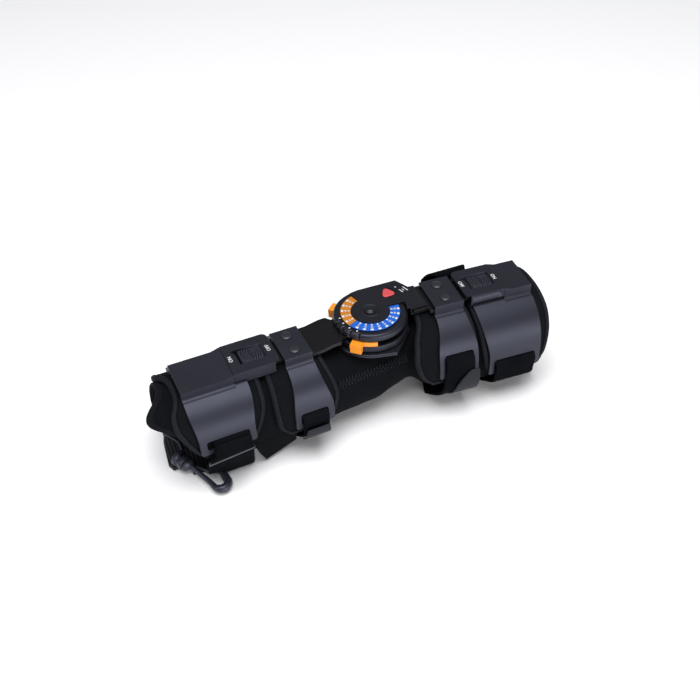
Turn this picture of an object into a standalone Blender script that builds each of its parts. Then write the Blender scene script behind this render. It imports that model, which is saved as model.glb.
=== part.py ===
"""Hinged elbow brace, lying on its straps with the hinge dial on top.

Metres, +Z up. X runs along the brace: the forearm side is -X, the upper-arm side +X.
Each arm has its own frame: x along the arm from the hinge, y across it, z up from the floor.
"""

import math

import bmesh
import bpy
from mathutils import Matrix, Vector

# Where the hinge stands, and how far each arm turns from X
HINGE_X = 0.024835
HINGE_Y = 0.007530
ARM_TURN = {"left": math.radians(2.65), "right": math.radians(-2.65)}
SIGN = {"left": -1, "right": 1}

# Gap between pieces that lie on each other
GAP = 0.0003

# The sleeve's oval under each arm's cuffs: half width, half height, middle height
OVAL_POWER = 2.3
CORE = {"left": (0.0395, 0.0390, 0.0411), "right": (0.0420, 0.0432, 0.0453)}
SLEEVE_WALL = 0.0025

# Layers over the sleeve
PAD_WALL = 0.0050
CUFF_WALL = 0.0026
PAD_OUT = GAP + PAD_WALL
CUFF_OUT = PAD_OUT + GAP + CUFF_WALL

# Raised channel along the top of a cuff
PLATE_TOP = {"left": 0.0930, "right": 0.1032}
PLATE_HALF = 0.0189
CHANNEL_WALL = 0.0024
FILLET = 0.0036

# Flat bars in the channels
BAR_HALF = 0.0130
BAR_THICK = 0.0030
BAR_DROP = 0.0033

# Slider housings
HOUSING_RISE = 0.0026
HOUSING_WALL = 0.0022
NARROW_HALF = PLATE_HALF - HOUSING_WALL - GAP
NARROW_DROP = 0.0002
WINDOW_LENGTH = 0.0260
WINDOW_HALF = 0.0093
BUTTON_LENGTH = 0.0206

# Hinge, from the floor side up
HINGE_FLOOR = 0.0778
BASE_RADIUS = 0.0370
BASE_THICK = 0.0032
DISC_RADIUS = 0.0335
DISC_LOW = HINGE_FLOOR + BASE_THICK + GAP
DISC_TOP = 0.0880
HUB_RADIUS = 0.0190
GROOVE_TOP = 0.0928
DIAL_RADIUS = 0.0330
DIAL_TOP = 0.0996
RING_INNER = 0.0172
RING_OUTER = 0.0262
RING_THICK = 0.0008
COVER_TOP = 0.1016
COVER_LOW = DIAL_TOP + GAP
PAD_TOP = CORE["right"][1] + CORE["right"][2] + PAD_OUT

# Straps
STRAP_THICK = 0.0018
STRAP_LIFT = STRAP_THICK / 2

materials = {}


def clear_scene():
    for item in list(bpy.data.objects):
        bpy.data.objects.remove(item)


def material(name, colour, roughness, metallic=0.0):
    """A Principled material, made once and shared by the pieces of that finish."""
    if name not in materials:
        made = bpy.data.materials.new(name)
        made.use_nodes = True
        shader = made.node_tree.nodes["Principled BSDF"]
        shader.inputs["Base Color"].default_value = (*colour, 1.0)
        shader.inputs["Roughness"].default_value = roughness
        shader.inputs["Metallic"].default_value = metallic
        materials[name] = made
    return materials[name]


def cuff_plastic():
    return material("cuff_plastic", (0.030, 0.031, 0.037), 0.42)


def housing_plastic():
    return material("housing_plastic", (0.024, 0.025, 0.030), 0.50)


def hinge_plastic():
    return material("hinge_plastic", (0.022, 0.022, 0.026), 0.45)


def orange_plastic():
    return material("orange_plastic", (0.90, 0.36, 0.03), 0.40)


def blue_print():
    return material("blue_print", (0.014, 0.16, 0.67), 0.40)


def red_plastic():
    return material("red_plastic", (0.76, 0.12, 0.14), 0.38)


def bar_metal():
    return material("bar_metal", (0.035, 0.033, 0.036), 0.50, 0.6)


def rivet_metal():
    return material("rivet_metal", (0.10, 0.10, 0.11), 0.35, 0.8)


def knit_cloth():
    return material("knit_cloth", (0.010, 0.010, 0.012), 0.95)


def foam_cloth():
    return material("foam_cloth", (0.016, 0.016, 0.018), 0.90)


def strap_cloth():
    return material("strap_cloth", (0.013, 0.013, 0.015), 0.92)


def hook_plastic():
    return material("hook_plastic", (0.030, 0.030, 0.034), 0.35)


def new_empty(name, parent, location, turn=0.0):
    empty = bpy.data.objects.new(name, None)
    bpy.context.collection.objects.link(empty)
    empty.parent = parent
    empty.location = location
    empty.rotation_euler = (0.0, 0.0, turn)
    return empty


def place(name, mesh, finish, parent, location=(0.0, 0.0, 0.0)):
    """Links a mesh as a named piece, shaded smooth up to 35 degrees."""
    mesh.name = name
    mesh.shade_smooth()
    mesh.set_sharp_from_angle(angle=math.radians(35))
    mesh.materials.append(finish)
    piece = bpy.data.objects.new(name, mesh)
    bpy.context.collection.objects.link(piece)
    piece.parent = parent
    piece.location = location
    return piece


def mesh_from(verts, faces):
    """One closed mesh with its faces turned out."""
    mesh = bpy.data.meshes.new("mesh")
    mesh.from_pydata(verts, [], faces)
    work = bmesh.new()
    work.from_mesh(mesh)
    bmesh.ops.recalc_face_normals(work, faces=work.faces)
    work.to_mesh(mesh)
    work.free()
    return mesh


def wall_mesh(outer, inner, holes=(), ring=False):
    """A closed wall between two like grids of points.

    Rows run across the wall and columns along it. holes are (row, column) cells left open, and
    ring joins the last row to the first.
    """
    rows = len(outer)
    columns = len(outer[0])
    spans = rows if ring else rows - 1
    verts = [point for row in outer for point in row] + [point for row in inner for point in row]
    shift = rows * columns
    gaps = set(holes)

    def at(row, column):
        return (row % rows) * columns + column

    def solid(row, column):
        if not 0 <= column < columns - 1:
            return False
        if ring:
            row = row % rows
        elif not 0 <= row < spans:
            return False
        return (row, column) not in gaps

    faces = []
    for row in range(spans):
        for column in range(columns - 1):
            if not solid(row, column):
                continue
            a, b = at(row, column), at(row, column + 1)
            d, c = at(row + 1, column), at(row + 1, column + 1)
            faces.append((a, b, c, d))
            faces.append((a + shift, d + shift, c + shift, b + shift))
            edges = (((row - 1, column), b, a), ((row + 1, column), d, c))
            edges += (((row, column - 1), a, d), ((row, column + 1), c, b))
            for (near_row, near_column), start, end in edges:
                if not solid(near_row, near_column):
                    faces.append((start, end, end + shift, start + shift))
    used = sorted({index for face in faces for index in face})
    order = {index: place_in for place_in, index in enumerate(used)}
    return mesh_from([verts[index] for index in used], [[order[i] for i in face] for face in faces])


def prism_mesh(outline, low, high):
    """An outline of (x, y) points raised from low to high."""
    count = len(outline)
    verts = [(x, y, low) for x, y in outline] + [(x, y, high) for x, y in outline]
    faces = [list(range(count))[::-1], list(range(count, 2 * count))]
    faces += [(i, (i + 1) % count, (i + 1) % count + count, i + count) for i in range(count)]
    return mesh_from(verts, faces)


def turned_mesh(profile, sides):
    """A solid turned about Z from (radius, height) points, first and last on the axis."""
    verts = [(0.0, 0.0, profile[0][1]), (0.0, 0.0, profile[-1][1])]
    body = profile[1:-1]
    for radius, height in body:
        for side in range(sides):
            angle = 2 * math.pi * side / sides
            verts.append((radius * math.cos(angle), radius * math.sin(angle), height))
    faces = []
    last = 2 + (len(body) - 1) * sides
    for side in range(sides):
        after = (side + 1) % sides
        faces.append((0, 2 + after, 2 + side))
        faces.append((1, last + side, last + after))
        for ring in range(len(body) - 1):
            low = 2 + ring * sides
            faces.append((low + side, low + after, low + sides + after, low + sides + side))
    return mesh_from(verts, faces)


def arc(centre, radius, start, end, steps):
    """Points on an arc, angles in degrees."""
    points = []
    for step in range(steps + 1):
        angle = math.radians(start + (end - start) * step / steps)
        points.append((centre[0] + radius * math.cos(angle), centre[1] + radius * math.sin(angle)))
    return points


def hull(points):
    """The outline round a set of plan points."""
    ordered = sorted(points)
    outline = []
    for run in (ordered, ordered[::-1]):
        chain = []
        for point in run:
            while len(chain) > 1 and turn_of(chain[-2], chain[-1], point) <= 0:
                chain.pop()
            chain.append(point)
        outline += chain[:-1]
    return outline


def turn_of(start, middle, end):
    first = (middle[0] - start[0], middle[1] - start[1])
    second = (end[0] - middle[0], end[1] - middle[1])
    return first[0] * second[1] - first[1] * second[0]


def soften(piece, width, segments=2, angle=40):
    bevel = piece.modifiers.new("soft_edges", "BEVEL")
    bevel.width = width
    bevel.segments = segments
    bevel.limit_method = "ANGLE"
    bevel.angle_limit = math.radians(angle)


def cut(piece, cutter):
    cutter.hide_render = True
    cutter.display_type = "WIRE"
    boolean = piece.modifiers.new("cut", "BOOLEAN")
    boolean.operation = "DIFFERENCE"
    boolean.solver = "EXACT"
    boolean.object = cutter


def join(piece, extra):
    extra.hide_render = True
    extra.display_type = "WIRE"
    boolean = piece.modifiers.new("join", "BOOLEAN")
    boolean.operation = "UNION"
    boolean.solver = "EXACT"
    boolean.object = extra


def blend_value(table, key):
    """Linear reading of a table of (key, value, ...) rows with falling keys."""
    if key >= table[0][0]:
        return table[0][1:]
    for upper, lower in zip(table, table[1:]):
        if key >= lower[0]:
            part = (upper[0] - key) / (upper[0] - lower[0])
            return tuple(a + (b - a) * part for a, b in zip(upper[1:], lower[1:]))
    return table[-1][1:]


# The oval of the sleeve, the pads and the cuffs


def oval_point(side, offset, angle):
    """(across, up) on the oval grown by offset; angle 0 is the back, 90 degrees the top."""
    half_width, half_height, middle = CORE[side]
    cosine, sine = math.cos(angle), math.sin(angle)
    across = (half_width + offset) * math.copysign(abs(cosine) ** (2 / OVAL_POWER), cosine)
    up = middle + (half_height + offset) * math.copysign(abs(sine) ** (2 / OVAL_POWER), sine)
    return across, up


def oval_height(side, offset, across):
    """Height of the oval's upper half at a distance across."""
    half_width, half_height, middle = CORE[side]
    part = 1 - (across / (half_width + offset)) ** OVAL_POWER
    return middle + (half_height + offset) * part ** (1 / OVAL_POWER)


def angle_at_across(side, offset, across):
    return math.acos((across / (CORE[side][0] + offset)) ** (OVAL_POWER / 2))


def angle_at_height(side, offset, height):
    part = (height - CORE[side][2]) / (CORE[side][1] + offset)
    return math.copysign(math.asin(min(1.0, abs(part) ** (OVAL_POWER / 2))), part)


def mirrored(half):
    """Rows from the front edge over the top to the back edge, from the back half."""
    front = [tuple((-across, up) for across, up in pair) for pair in reversed(half[1:])]
    return front + half


def grids(side, rows, edges):
    """Outer and inner grids for rows of (outer, inner) points at the columns that edges gives."""
    outer, inner = [], []
    for row in rows:
        places = edges(row[0][0][1])
        outer.append([(SIGN[side] * x, pair[0][0], pair[0][1]) for x, pair in zip(places, row)])
        inner.append([(SIGN[side] * x, pair[1][0], pair[1][1]) for x, pair in zip(places, row)])
    return outer, inner


# Sleeve: stations along the brace as (x, half width, half height, middle height)

SLEEVE_STATIONS = (
    (-0.2030, *CORE["left"]),
    (-0.1960, *CORE["left"]),
    (-0.1080, *CORE["left"]),
    (-0.0900, 0.0385, 0.0375, 0.0426),
    (-0.0620, 0.0385, 0.0375, 0.0426),
    (-0.0420, 0.0362, 0.0340, 0.0432),
    (-0.0050, 0.0355, 0.0336, 0.0436),
    (0.0200, 0.0285, 0.0292, 0.0480),
    (0.0330, 0.0255, 0.0272, 0.0500),
    (0.0450, 0.0360, 0.0375, 0.0475),
    (0.0540, 0.0400, 0.0405, 0.0480),
    (0.0820, 0.0400, 0.0405, 0.0480),
    (0.0980, *CORE["right"]),
    (0.1560, *CORE["right"]),
)
SLEEVE_SIDES = 36
BEND_REACH = 0.030

# Slanted hem of the sleeve's forearm end: (degrees round from the back, distance along)
SLEEVE_HEM = (
    (360, -0.1960), (330, -0.1950), (312, -0.1930), (300, -0.1780), (285, -0.1300), (270, -0.1150),
    (250, -0.1200), (225, -0.1400), (205, -0.1580), (180, -0.1760), (170, -0.1900), (160, -0.2070),
    (150, -0.2115), (140, -0.2110), (126, -0.2050), (112, -0.1980), (90, -0.1920), (0, -0.1960),
)
HEM_WIDTH = 0.006


def sleeve_frame(along):
    """Offset and turn of the sleeve's path, which bends over a short reach at the hinge."""
    turn = ARM_TURN["right"]
    if abs(along) >= BEND_REACH:
        return -abs(along) * math.sin(abs(turn)), math.copysign(turn, 1) * (1 if along < 0 else -1)
    part = along / BEND_REACH
    drop = BEND_REACH * math.sin(abs(turn)) * (0.5 + 0.5 * part * part)
    return -drop, -abs(turn) * part


def sleeve_loop(along, half_width, half_height, middle):
    shift, turn = sleeve_frame(along)
    points = []
    for step in range(SLEEVE_SIDES):
        angle = 2 * math.pi * step / SLEEVE_SIDES
        cosine, sine = math.cos(angle), math.sin(angle)
        across = half_width * math.copysign(abs(cosine) ** (2 / OVAL_POWER), cosine)
        up = middle + half_height * math.copysign(abs(sine) ** (2 / OVAL_POWER), sine)
        at = along
        if along < SLEEVE_STATIONS[2][0]:
            hem = blend_value(SLEEVE_HEM, 360 * step / SLEEVE_SIDES)[0]
            at = hem if along < SLEEVE_STATIONS[1][0] else hem + HEM_WIDTH
            shift, turn = sleeve_frame(at)
        points.append((at - across * math.sin(turn), shift + across * math.cos(turn), up))
    return points


def make_sleeve(brace):
    loops = [sleeve_loop(*row) for row in SLEEVE_STATIONS]
    thinner = [
        sleeve_loop(along, width - SLEEVE_WALL, height - SLEEVE_WALL, middle)
        for along, width, height, middle in SLEEVE_STATIONS
    ]
    outer = [list(points) for points in zip(*loops)]
    inner = [list(points) for points in zip(*thinner)]
    place("sleeve", wall_mesh(outer, inner, ring=True), knit_cloth(), brace)


# Pads: (height, edge by the hinge, edge away from it)

PAD_EDGES = {
    "left_outer": (
        (0.0850, 0.1125, 0.1818), (0.0838, 0.1125, 0.1850), (0.0820, 0.1127, 0.1900),
        (0.0780, 0.1130, 0.1925), (0.0700, 0.1138, 0.1925), (0.0580, 0.1190, 0.1865),
        (0.0460, 0.1250, 0.1800), (0.0370, 0.1330, 0.1710),
    ),
    "left_inner": (
        (0.0850, 0.0550, 0.1067), (0.0710, 0.0505, 0.1080), (0.0590, 0.0490, 0.1085),
        (0.0410, 0.0545, 0.1070), (0.0295, 0.0630, 0.0960),
    ),
    "right_inner": (
        (0.0932, 0.0385, 0.0855), (0.0840, 0.0295, 0.0862), (0.0660, 0.0255, 0.0868),
        (0.0490, 0.0305, 0.0866), (0.0370, 0.0430, 0.0800),
    ),
    "right_outer": (
        (0.0932, 0.0880, 0.1590), (0.0840, 0.0885, 0.1592), (0.0670, 0.0895, 0.1573),
        (0.0410, 0.0935, 0.1535), (0.0310, 0.1000, 0.1450),
    ),
}
PAD_STEPS = 9


def pad_rows(side, lowest):
    low = angle_at_height(side, PAD_OUT, lowest)
    half = []
    for step in range(PAD_STEPS + 1):
        angle = math.pi / 2 + (low - math.pi / 2) * step / PAD_STEPS
        half.append((oval_point(side, PAD_OUT, angle), oval_point(side, GAP, angle)))
    return mirrored(half)


def make_pad(name, side, parent):
    table = PAD_EDGES[name]

    def edges(height):
        near, far = blend_value(table, height)
        return [near + (far - near) * part for part in (0.0, 0.5, 1.0)]

    rows = [[row] * 3 for row in pad_rows(side, table[-1][0])]
    outer, inner = grids(side, rows, edges)
    place("pad_" + name, wall_mesh(outer, inner), foam_cloth(), parent)


# Cuffs: columns at the top and at the lower edge, counted from the hinge

CUFFS = {
    "left_inner": {
        "top": (0.0628, 0.0680, 0.0830, 0.0883),
        "low": (0.0568, 0.0625, 0.0872, 0.0925),
        "height": 0.0370, "slot": (0.0415, 0.0530), "slot_columns": (1, 2),
    },
    "left_outer": {
        "top": (0.1232, 0.1290, 0.1335, 0.1336, 0.1411, 0.1715, 0.1790),
        "low": (0.1277, 0.1330, 0.1353, 0.1354, 0.1420, 0.1705, 0.1763),
        "height": 0.0445, "slot": (0.0490, 0.0575), "slot_columns": (1, 5),
    },
    "right_inner": {
        "top": (0.0535, 0.0590, 0.0760, 0.0812),
        "low": (0.0475, 0.0525, 0.0800, 0.0848),
        "height": 0.0450, "slot": (0.0500, 0.0690), "slot_columns": (1, 2),
    },
    "right_outer": {
        "top": (0.0903, 0.0960, 0.1209, 0.1210, 0.1284, 0.1410, 0.1472),
        "low": (0.0960, 0.1010, 0.1219, 0.1220, 0.1290, 0.1410, 0.1463),
        "height": 0.0345, "slot": (0.0390, 0.0515), "slot_columns": (1, 5),
    },
}
SIDE_STEPS = 5
CORNER = 0.0035


def cuff_half(side, half, top, low_rows):
    """Points from the middle of the channel down one side, as (outer, inner) pairs."""
    inner_offset = CUFF_OUT - CUFF_WALL
    shoulder = half + FILLET
    ledge = oval_height(side, CUFF_OUT, shoulder)
    inside = half - CHANNEL_WALL
    points = [
        ((0.0, top), (0.0, top - CHANNEL_WALL)),
        ((half, top), (inside, top - CHANNEL_WALL)),
        ((half, ledge + 0.0011), (inside, oval_height(side, inner_offset, inside) + 0.0006)),
        ((half + 0.0011, ledge + 0.0001), (inside + 0.0014, oval_height(side, inner_offset, inside + 0.0014))),
    ]
    start = angle_at_across(side, CUFF_OUT, shoulder)
    heights = [oval_point(side, CUFF_OUT, start)[1]]
    end = angle_at_height(side, CUFF_OUT, low_rows[0])
    angles = [start + (end - start) * step / SIDE_STEPS for step in range(SIDE_STEPS + 1)]
    angles += [angle_at_height(side, CUFF_OUT, height) for height in low_rows[1:]]
    for angle in angles:
        points.append((oval_point(side, CUFF_OUT, angle), oval_point(side, inner_offset, angle)))
    return points


def cuff_profiles(name, side, low_rows):
    """One half profile for each column; the outer cuffs narrow under their housing."""
    count = len(CUFFS[name]["top"])
    plain = (PLATE_HALF, PLATE_TOP[side])
    if count == 4:
        shapes = [plain] * count
    else:
        under = (NARROW_HALF, PLATE_TOP[side] - NARROW_DROP)
        raised = (PLATE_HALF, PLATE_TOP[side] + HOUSING_RISE - GAP)
        shapes = [under] * 3 + [raised] + [plain] * 3
    return [mirrored(cuff_half(side, half, top, low_rows)) for half, top in shapes]


def make_cuff(name, side, parent):
    data = CUFFS[name]
    slot_low, slot_top = data["slot"]
    low_rows = (slot_top, (slot_top + slot_low) / 2, slot_low, slot_low - 0.0022, data["height"])
    profiles = cuff_profiles(name, side, low_rows)
    rows = [list(row) for row in zip(*profiles)]
    ledge = PLATE_TOP[side] - 0.008

    def edges(height):
        part = min(1.0, max(0.0, (ledge - height) / (ledge - slot_top)))
        places = [a + (b - a) * part for a, b in zip(data["top"], data["low"])]
        if height < data["height"] + 0.0005:
            places[0] += CORNER
            places[-1] -= CORNER
        return places

    outer, inner = grids(side, rows, edges)
    last = len(rows) - 2
    first_column, last_column = data["slot_columns"]
    holes = [(row, column) for row in (2, 3, last - 3, last - 2) for column in range(first_column, last_column)]
    place("cuff_" + name, wall_mesh(outer, inner, holes), cuff_plastic(), parent)


def make_rivets(side, parent):
    """Domed heads on the inner cuff's plate."""
    middle = sum(CUFFS[side + "_inner"]["top"][::3]) / 2
    low = PLATE_TOP[side] + GAP
    profile = ((0.0, low), (0.0047, low), (0.0047, low + 0.0004), (0.0036, low + 0.0010), (0.0, low + 0.0013))
    for label, across in (("back", 0.0098), ("front", -0.0090)):
        head = place("rivet_%s_%s" % (side, label), turned_mesh(profile, 14), rivet_metal(), parent)
        head.location = (SIGN[side] * middle, across, 0.0)


# Slider housings: end by the hinge, seam with the cuff's plate, and the button's place in its window

HOUSINGS = {
    "left": {"near": 0.0918, "seam": 0.1333, "window": 0.1005, "button": 0.1012},
    "right": {"near": 0.0835, "seam": 0.1207, "window": 0.0890, "button": 0.0942},
}
HOUSING_DEPTH = {"over_bar": 0.0090, "over_cuff": 0.0062}


def make_housing(side, parent):
    data = HOUSINGS[side]
    top = PLATE_TOP[side] + HOUSING_RISE
    cuff_edge = CUFFS[side + "_outer"]["top"][0] - 0.0006
    window_end = data["window"] + WINDOW_LENGTH
    places = sorted([data["near"], data["window"], window_end, cuff_edge, cuff_edge + GAP, data["seam"]])
    inside = PLATE_HALF - HOUSING_WALL
    outer, inner = [], []
    for row, across in enumerate((-PLATE_HALF, -PLATE_HALF, -WINDOW_HALF, WINDOW_HALF, PLATE_HALF, PLATE_HALF)):
        outer_row, inner_row = [], []
        within = max(-inside, min(inside, across))
        for place_x in places:
            key = "over_bar" if place_x <= cuff_edge else "over_cuff"
            low = PLATE_TOP[side] - HOUSING_DEPTH[key]
            edge = row in (0, 5)
            outer_row.append((SIGN[side] * place_x, across, low if edge else top))
            inner_row.append((SIGN[side] * place_x, within, low if edge else top - HOUSING_WALL))
        outer.append(outer_row)
        inner.append(inner_row)
    holes = [
        (2, column) for column in range(len(places) - 1)
        if data["window"] <= places[column] < window_end
    ]
    mesh = wall_mesh(outer, inner, holes)
    place("slider_housing_" + side, mesh, housing_plastic(), parent)


def make_slider_button(side, parent):
    """A thumb plate in the housing's window, with a ridge along each end."""
    length = BUTTON_LENGTH
    half = WINDOW_HALF - GAP
    low = PLATE_TOP[side] + HOUSING_RISE - HOUSING_WALL
    high = PLATE_TOP[side] + HOUSING_RISE - 0.0006
    ridge = high + 0.0008
    outline = [(0.0, low), (length, low), (length, high)]
    for start in (length - 0.0030, length - 0.0066, 0.0056, 0.0020):
        outline += [(start + 0.0010, high), (start + 0.0006, ridge), (start, ridge), (start - 0.0004, high)]
    outline += [(0.0, high)]
    count = len(outline)
    verts = [(SIGN[side] * x, -half, z) for x, z in outline] + [(SIGN[side] * x, half, z) for x, z in outline]
    faces = [list(range(count)), list(range(count, 2 * count))[::-1]]
    faces += [(i, i + count, (i + 1) % count + count, (i + 1) % count) for i in range(count)]
    start = SIGN[side] * HOUSINGS[side]["button"]
    place("slider_button_" + side, mesh_from(verts, faces), housing_plastic(), parent, (start, 0.0, 0.0))


# Bars: (distance from the hinge, half width)

BAR_ENDS = {"left": 0.1500, "right": 0.1330}
BAR_WIDE_HALF = 0.0180


def strip_mesh(path, thickness):
    """A flat strip through (x, half width, top height) rows."""
    verts = []
    for x, half, top in path:
        verts += [(x, -half, top), (x, half, top), (x, half, top - thickness), (x, -half, top - thickness)]
    faces = [(0, 1, 2, 3), tuple(len(verts) - 4 + i for i in (3, 2, 1, 0))]
    for row in range(len(path) - 1):
        for corner in range(4):
            a = row * 4 + corner
            b = row * 4 + (corner + 1) % 4
            faces.append((a, a + 4, b + 4, b))
    return mesh_from(verts, faces)


def make_forearm_bar(parent):
    """Wide and flat at the hinge, it dips to the inner cuff's mouth and runs on narrower inside."""
    channel = PLATE_TOP["left"] - BAR_DROP
    flat = GROOVE_TOP - GAP
    mouth = CUFFS["left_inner"]["top"][0] - 0.0004
    path = [(0.0205, BAR_HALF, flat), (0.0320, BAR_HALF, flat), (0.0360, BAR_WIDE_HALF, flat)]
    path += [(0.0440, BAR_WIDE_HALF, flat - 0.0003)]
    path += [(0.0490, BAR_WIDE_HALF, flat - 0.0010), (0.0560, BAR_WIDE_HALF, channel + 0.0004)]
    path += [(mouth, BAR_WIDE_HALF, channel), (mouth + 0.0001, BAR_HALF, channel), (BAR_ENDS["left"], BAR_HALF, channel)]
    mesh = strip_mesh([(-x, half, top) for x, half, top in path], BAR_THICK)
    place("forearm_bar", mesh, bar_metal(), parent)


def make_upper_arm_bar(parent):
    """Leaves the hinge cover, shows its full width at the inner cuff's mouth and runs on inside."""
    channel = PLATE_TOP["right"] - BAR_DROP
    mouth = CUFFS["right_inner"]["top"][0] - 0.0004
    path = [(0.0360, BAR_HALF, channel), (0.0493, BAR_HALF, channel), (0.0494, BAR_WIDE_HALF, channel)]
    path += [(mouth, BAR_WIDE_HALF, channel), (mouth + 0.0001, BAR_HALF, channel)]
    path += [(BAR_ENDS["right"], BAR_HALF, channel)]
    place("upper_arm_bar", strip_mesh(path, BAR_THICK), bar_metal(), parent)


# Hinge

BASE_CORNER = (0.0086, 0.0394)
BASE_CHAMFER = (0.0330, 0.0150)


def make_base_plate(brace):
    """A round pad plate with two cut corners on the upper-arm side."""
    outline = arc((0.0, 0.0), BASE_RADIUS, 100, 260, 18)
    outline += [(BASE_CORNER[0], -BASE_CORNER[1]), (BASE_CHAMFER[0], -BASE_CHAMFER[1])]
    outline += [BASE_CHAMFER, BASE_CORNER]
    plate = place("hinge_base_plate", prism_mesh(outline, HINGE_FLOOR, HINGE_FLOOR + BASE_THICK), hinge_plastic(), brace)
    soften(plate, 0.0008, 1, 60)


def make_lower_disc(brace):
    """The disc under the stop groove, with the hub that carries the bar and the dial."""
    profile = ((0.0, DISC_LOW), (DISC_RADIUS - 0.0008, DISC_LOW), (DISC_RADIUS, DISC_LOW + 0.0010))
    profile += ((DISC_RADIUS, DISC_TOP - 0.0010), (DISC_RADIUS - 0.0008, DISC_TOP), (HUB_RADIUS, DISC_TOP))
    profile += ((HUB_RADIUS, GROOVE_TOP - GAP), (0.0, GROOVE_TOP - GAP))
    place("hinge_lower_disc", turned_mesh(profile, 40), hinge_plastic(), brace)


def make_dial(brace):
    """The turning dial with its thick rounded rim."""
    rim = DIAL_RADIUS
    profile = ((0.0, GROOVE_TOP), (rim - 0.0010, GROOVE_TOP), (rim - 0.0002, GROOVE_TOP + 0.0008))
    profile += ((rim, GROOVE_TOP + 0.0026), (rim - 0.0004, DIAL_TOP - 0.0020), (rim - 0.0012, DIAL_TOP - 0.0007))
    profile += ((rim - 0.0026, DIAL_TOP), (0.0, DIAL_TOP))
    place("dial", turned_mesh(profile, 44), hinge_plastic(), brace)


def ring_outline(start, end, steps):
    return arc((0.0, 0.0), RING_OUTER, start, end, steps) + arc((0.0, 0.0), RING_INNER, end, start, steps)


def make_rings(brace):
    """Two coloured scale sectors on the dial."""
    low = DIAL_TOP + GAP
    for name, start, end, finish in (
        ("ring_orange", 107, 203.5, orange_plastic()), ("ring_blue", 204.5, 356.6, blue_print()),
    ):
        steps = round((end - start) / 9)
        place(name, prism_mesh(ring_outline(start, end, steps), low, low + RING_THICK), finish, brace)


# Plan points of the cover's upper-arm side, from the back tangent to the front ramp
COVER_BACK = 0.0296
COVER_CORNER = 0.0370
COVER_STEP = (0.0440, 0.0162)
COVER_END = 0.0490
COVER_FRONT = -0.0100
LOCK_AT = (0.0232, 0.0150)
LOCK_REACH = 0.0062
LOCK_TRAVEL = 0.0030
LOCK_DEPTH = 0.0009


def cover_outline():
    """Disc inside the scale ring, then the lobe with the lock, then the arm over the bar."""
    disc = RING_INNER - 0.0004
    outline = arc((0.0, 0.0), disc, 107, 358.3, 24)
    outline += arc((0.0, 0.0), DIAL_RADIUS - 0.0006, 358.5, 342, 3)
    outline += [(COVER_END, COVER_FRONT), (COVER_END, COVER_STEP[1]), COVER_STEP]
    outline += [(COVER_CORNER, COVER_BACK), (0.0, COVER_BACK + 0.0004), (-0.0080, COVER_BACK - 0.0012)]
    return outline


def lock_outline(reach, shift=(0.0, 0.0)):
    """A triangle with rounded corners, its point towards the hinge."""
    outline = []
    for corner in range(3):
        heading = 213 + 120 * corner
        radius = reach * 0.42
        centre = reach * 0.58
        middle = (centre * math.cos(math.radians(heading)), centre * math.sin(math.radians(heading)))
        outline += arc(middle, radius, heading - 55, heading + 55, 4)
    return [(x + shift[0], y + shift[1]) for x, y in outline]


def make_cover(brace, arm):
    """Cover plate with the arm block that holds the upper-arm bar."""
    cover = place("hinge_cover", prism_mesh(cover_outline(), COVER_LOW, COVER_TOP), hinge_plastic(), brace)
    start = DIAL_RADIUS + 0.0006
    block = [(start, -0.0125), (COVER_END - 0.0004, -0.0125), (COVER_END - 0.0004, 0.0160)]
    block += [(0.0410, 0.0180), (start, 0.0260)]
    low = PAD_TOP + GAP
    join(cover, place("cover_block", prism_mesh(block, low, COVER_TOP - 0.0004), hinge_plastic(), brace))
    bar_top = PLATE_TOP["right"] - BAR_DROP
    pocket = [(0.0350, -BAR_HALF - GAP), (0.0600, -BAR_HALF - GAP), (0.0600, BAR_HALF + GAP), (0.0350, BAR_HALF + GAP)]
    cutter = place("bar_pocket", prism_mesh(pocket, bar_top - BAR_THICK - GAP, bar_top + GAP), hinge_plastic(), arm)
    cut(cover, cutter)
    heading = math.atan2(LOCK_AT[1], LOCK_AT[0])
    away = (LOCK_TRAVEL * math.cos(heading), LOCK_TRAVEL * math.sin(heading))
    recess = hull(lock_outline(LOCK_REACH + 2 * GAP) + lock_outline(LOCK_REACH + 2 * GAP, away))
    sunk = prism_mesh(recess, COVER_TOP - LOCK_DEPTH, COVER_TOP + 0.01)
    cut(cover, place("lock_recess", sunk, hinge_plastic(), brace, (*LOCK_AT, 0.0)))


def make_lock_button(brace):
    low = COVER_TOP - LOCK_DEPTH + GAP
    button = place("lock_button", prism_mesh(lock_outline(LOCK_REACH), low, COVER_TOP + 0.0012), red_plastic(), brace)
    button.location = (*LOCK_AT, 0.0)
    soften(button, 0.0005, 1, 60)


def make_hinge_rivet(brace):
    low = COVER_TOP + GAP
    profile = ((0.0, low), (0.0053, low), (0.0053, low + 0.0005), (0.0042, low + 0.0014), (0.0022, low + 0.0019))
    profile += ((0.0, low + 0.0020),)
    place("hinge_rivet", turned_mesh(profile, 20), rivet_metal(), brace)


# Stop levers: heading of the tab and how far the thin arm runs on in the groove, in degrees

LEVERS = {"stop_lever_flexion": (228, 30), "stop_lever_extension": (132, -26)}
LEVER_INNER = 0.0245
LEVER_OUTER = 0.0332
TAB_OUTER = 0.0390
TAB_HALF = 0.0052
TAB_DROP = 0.0045


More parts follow.
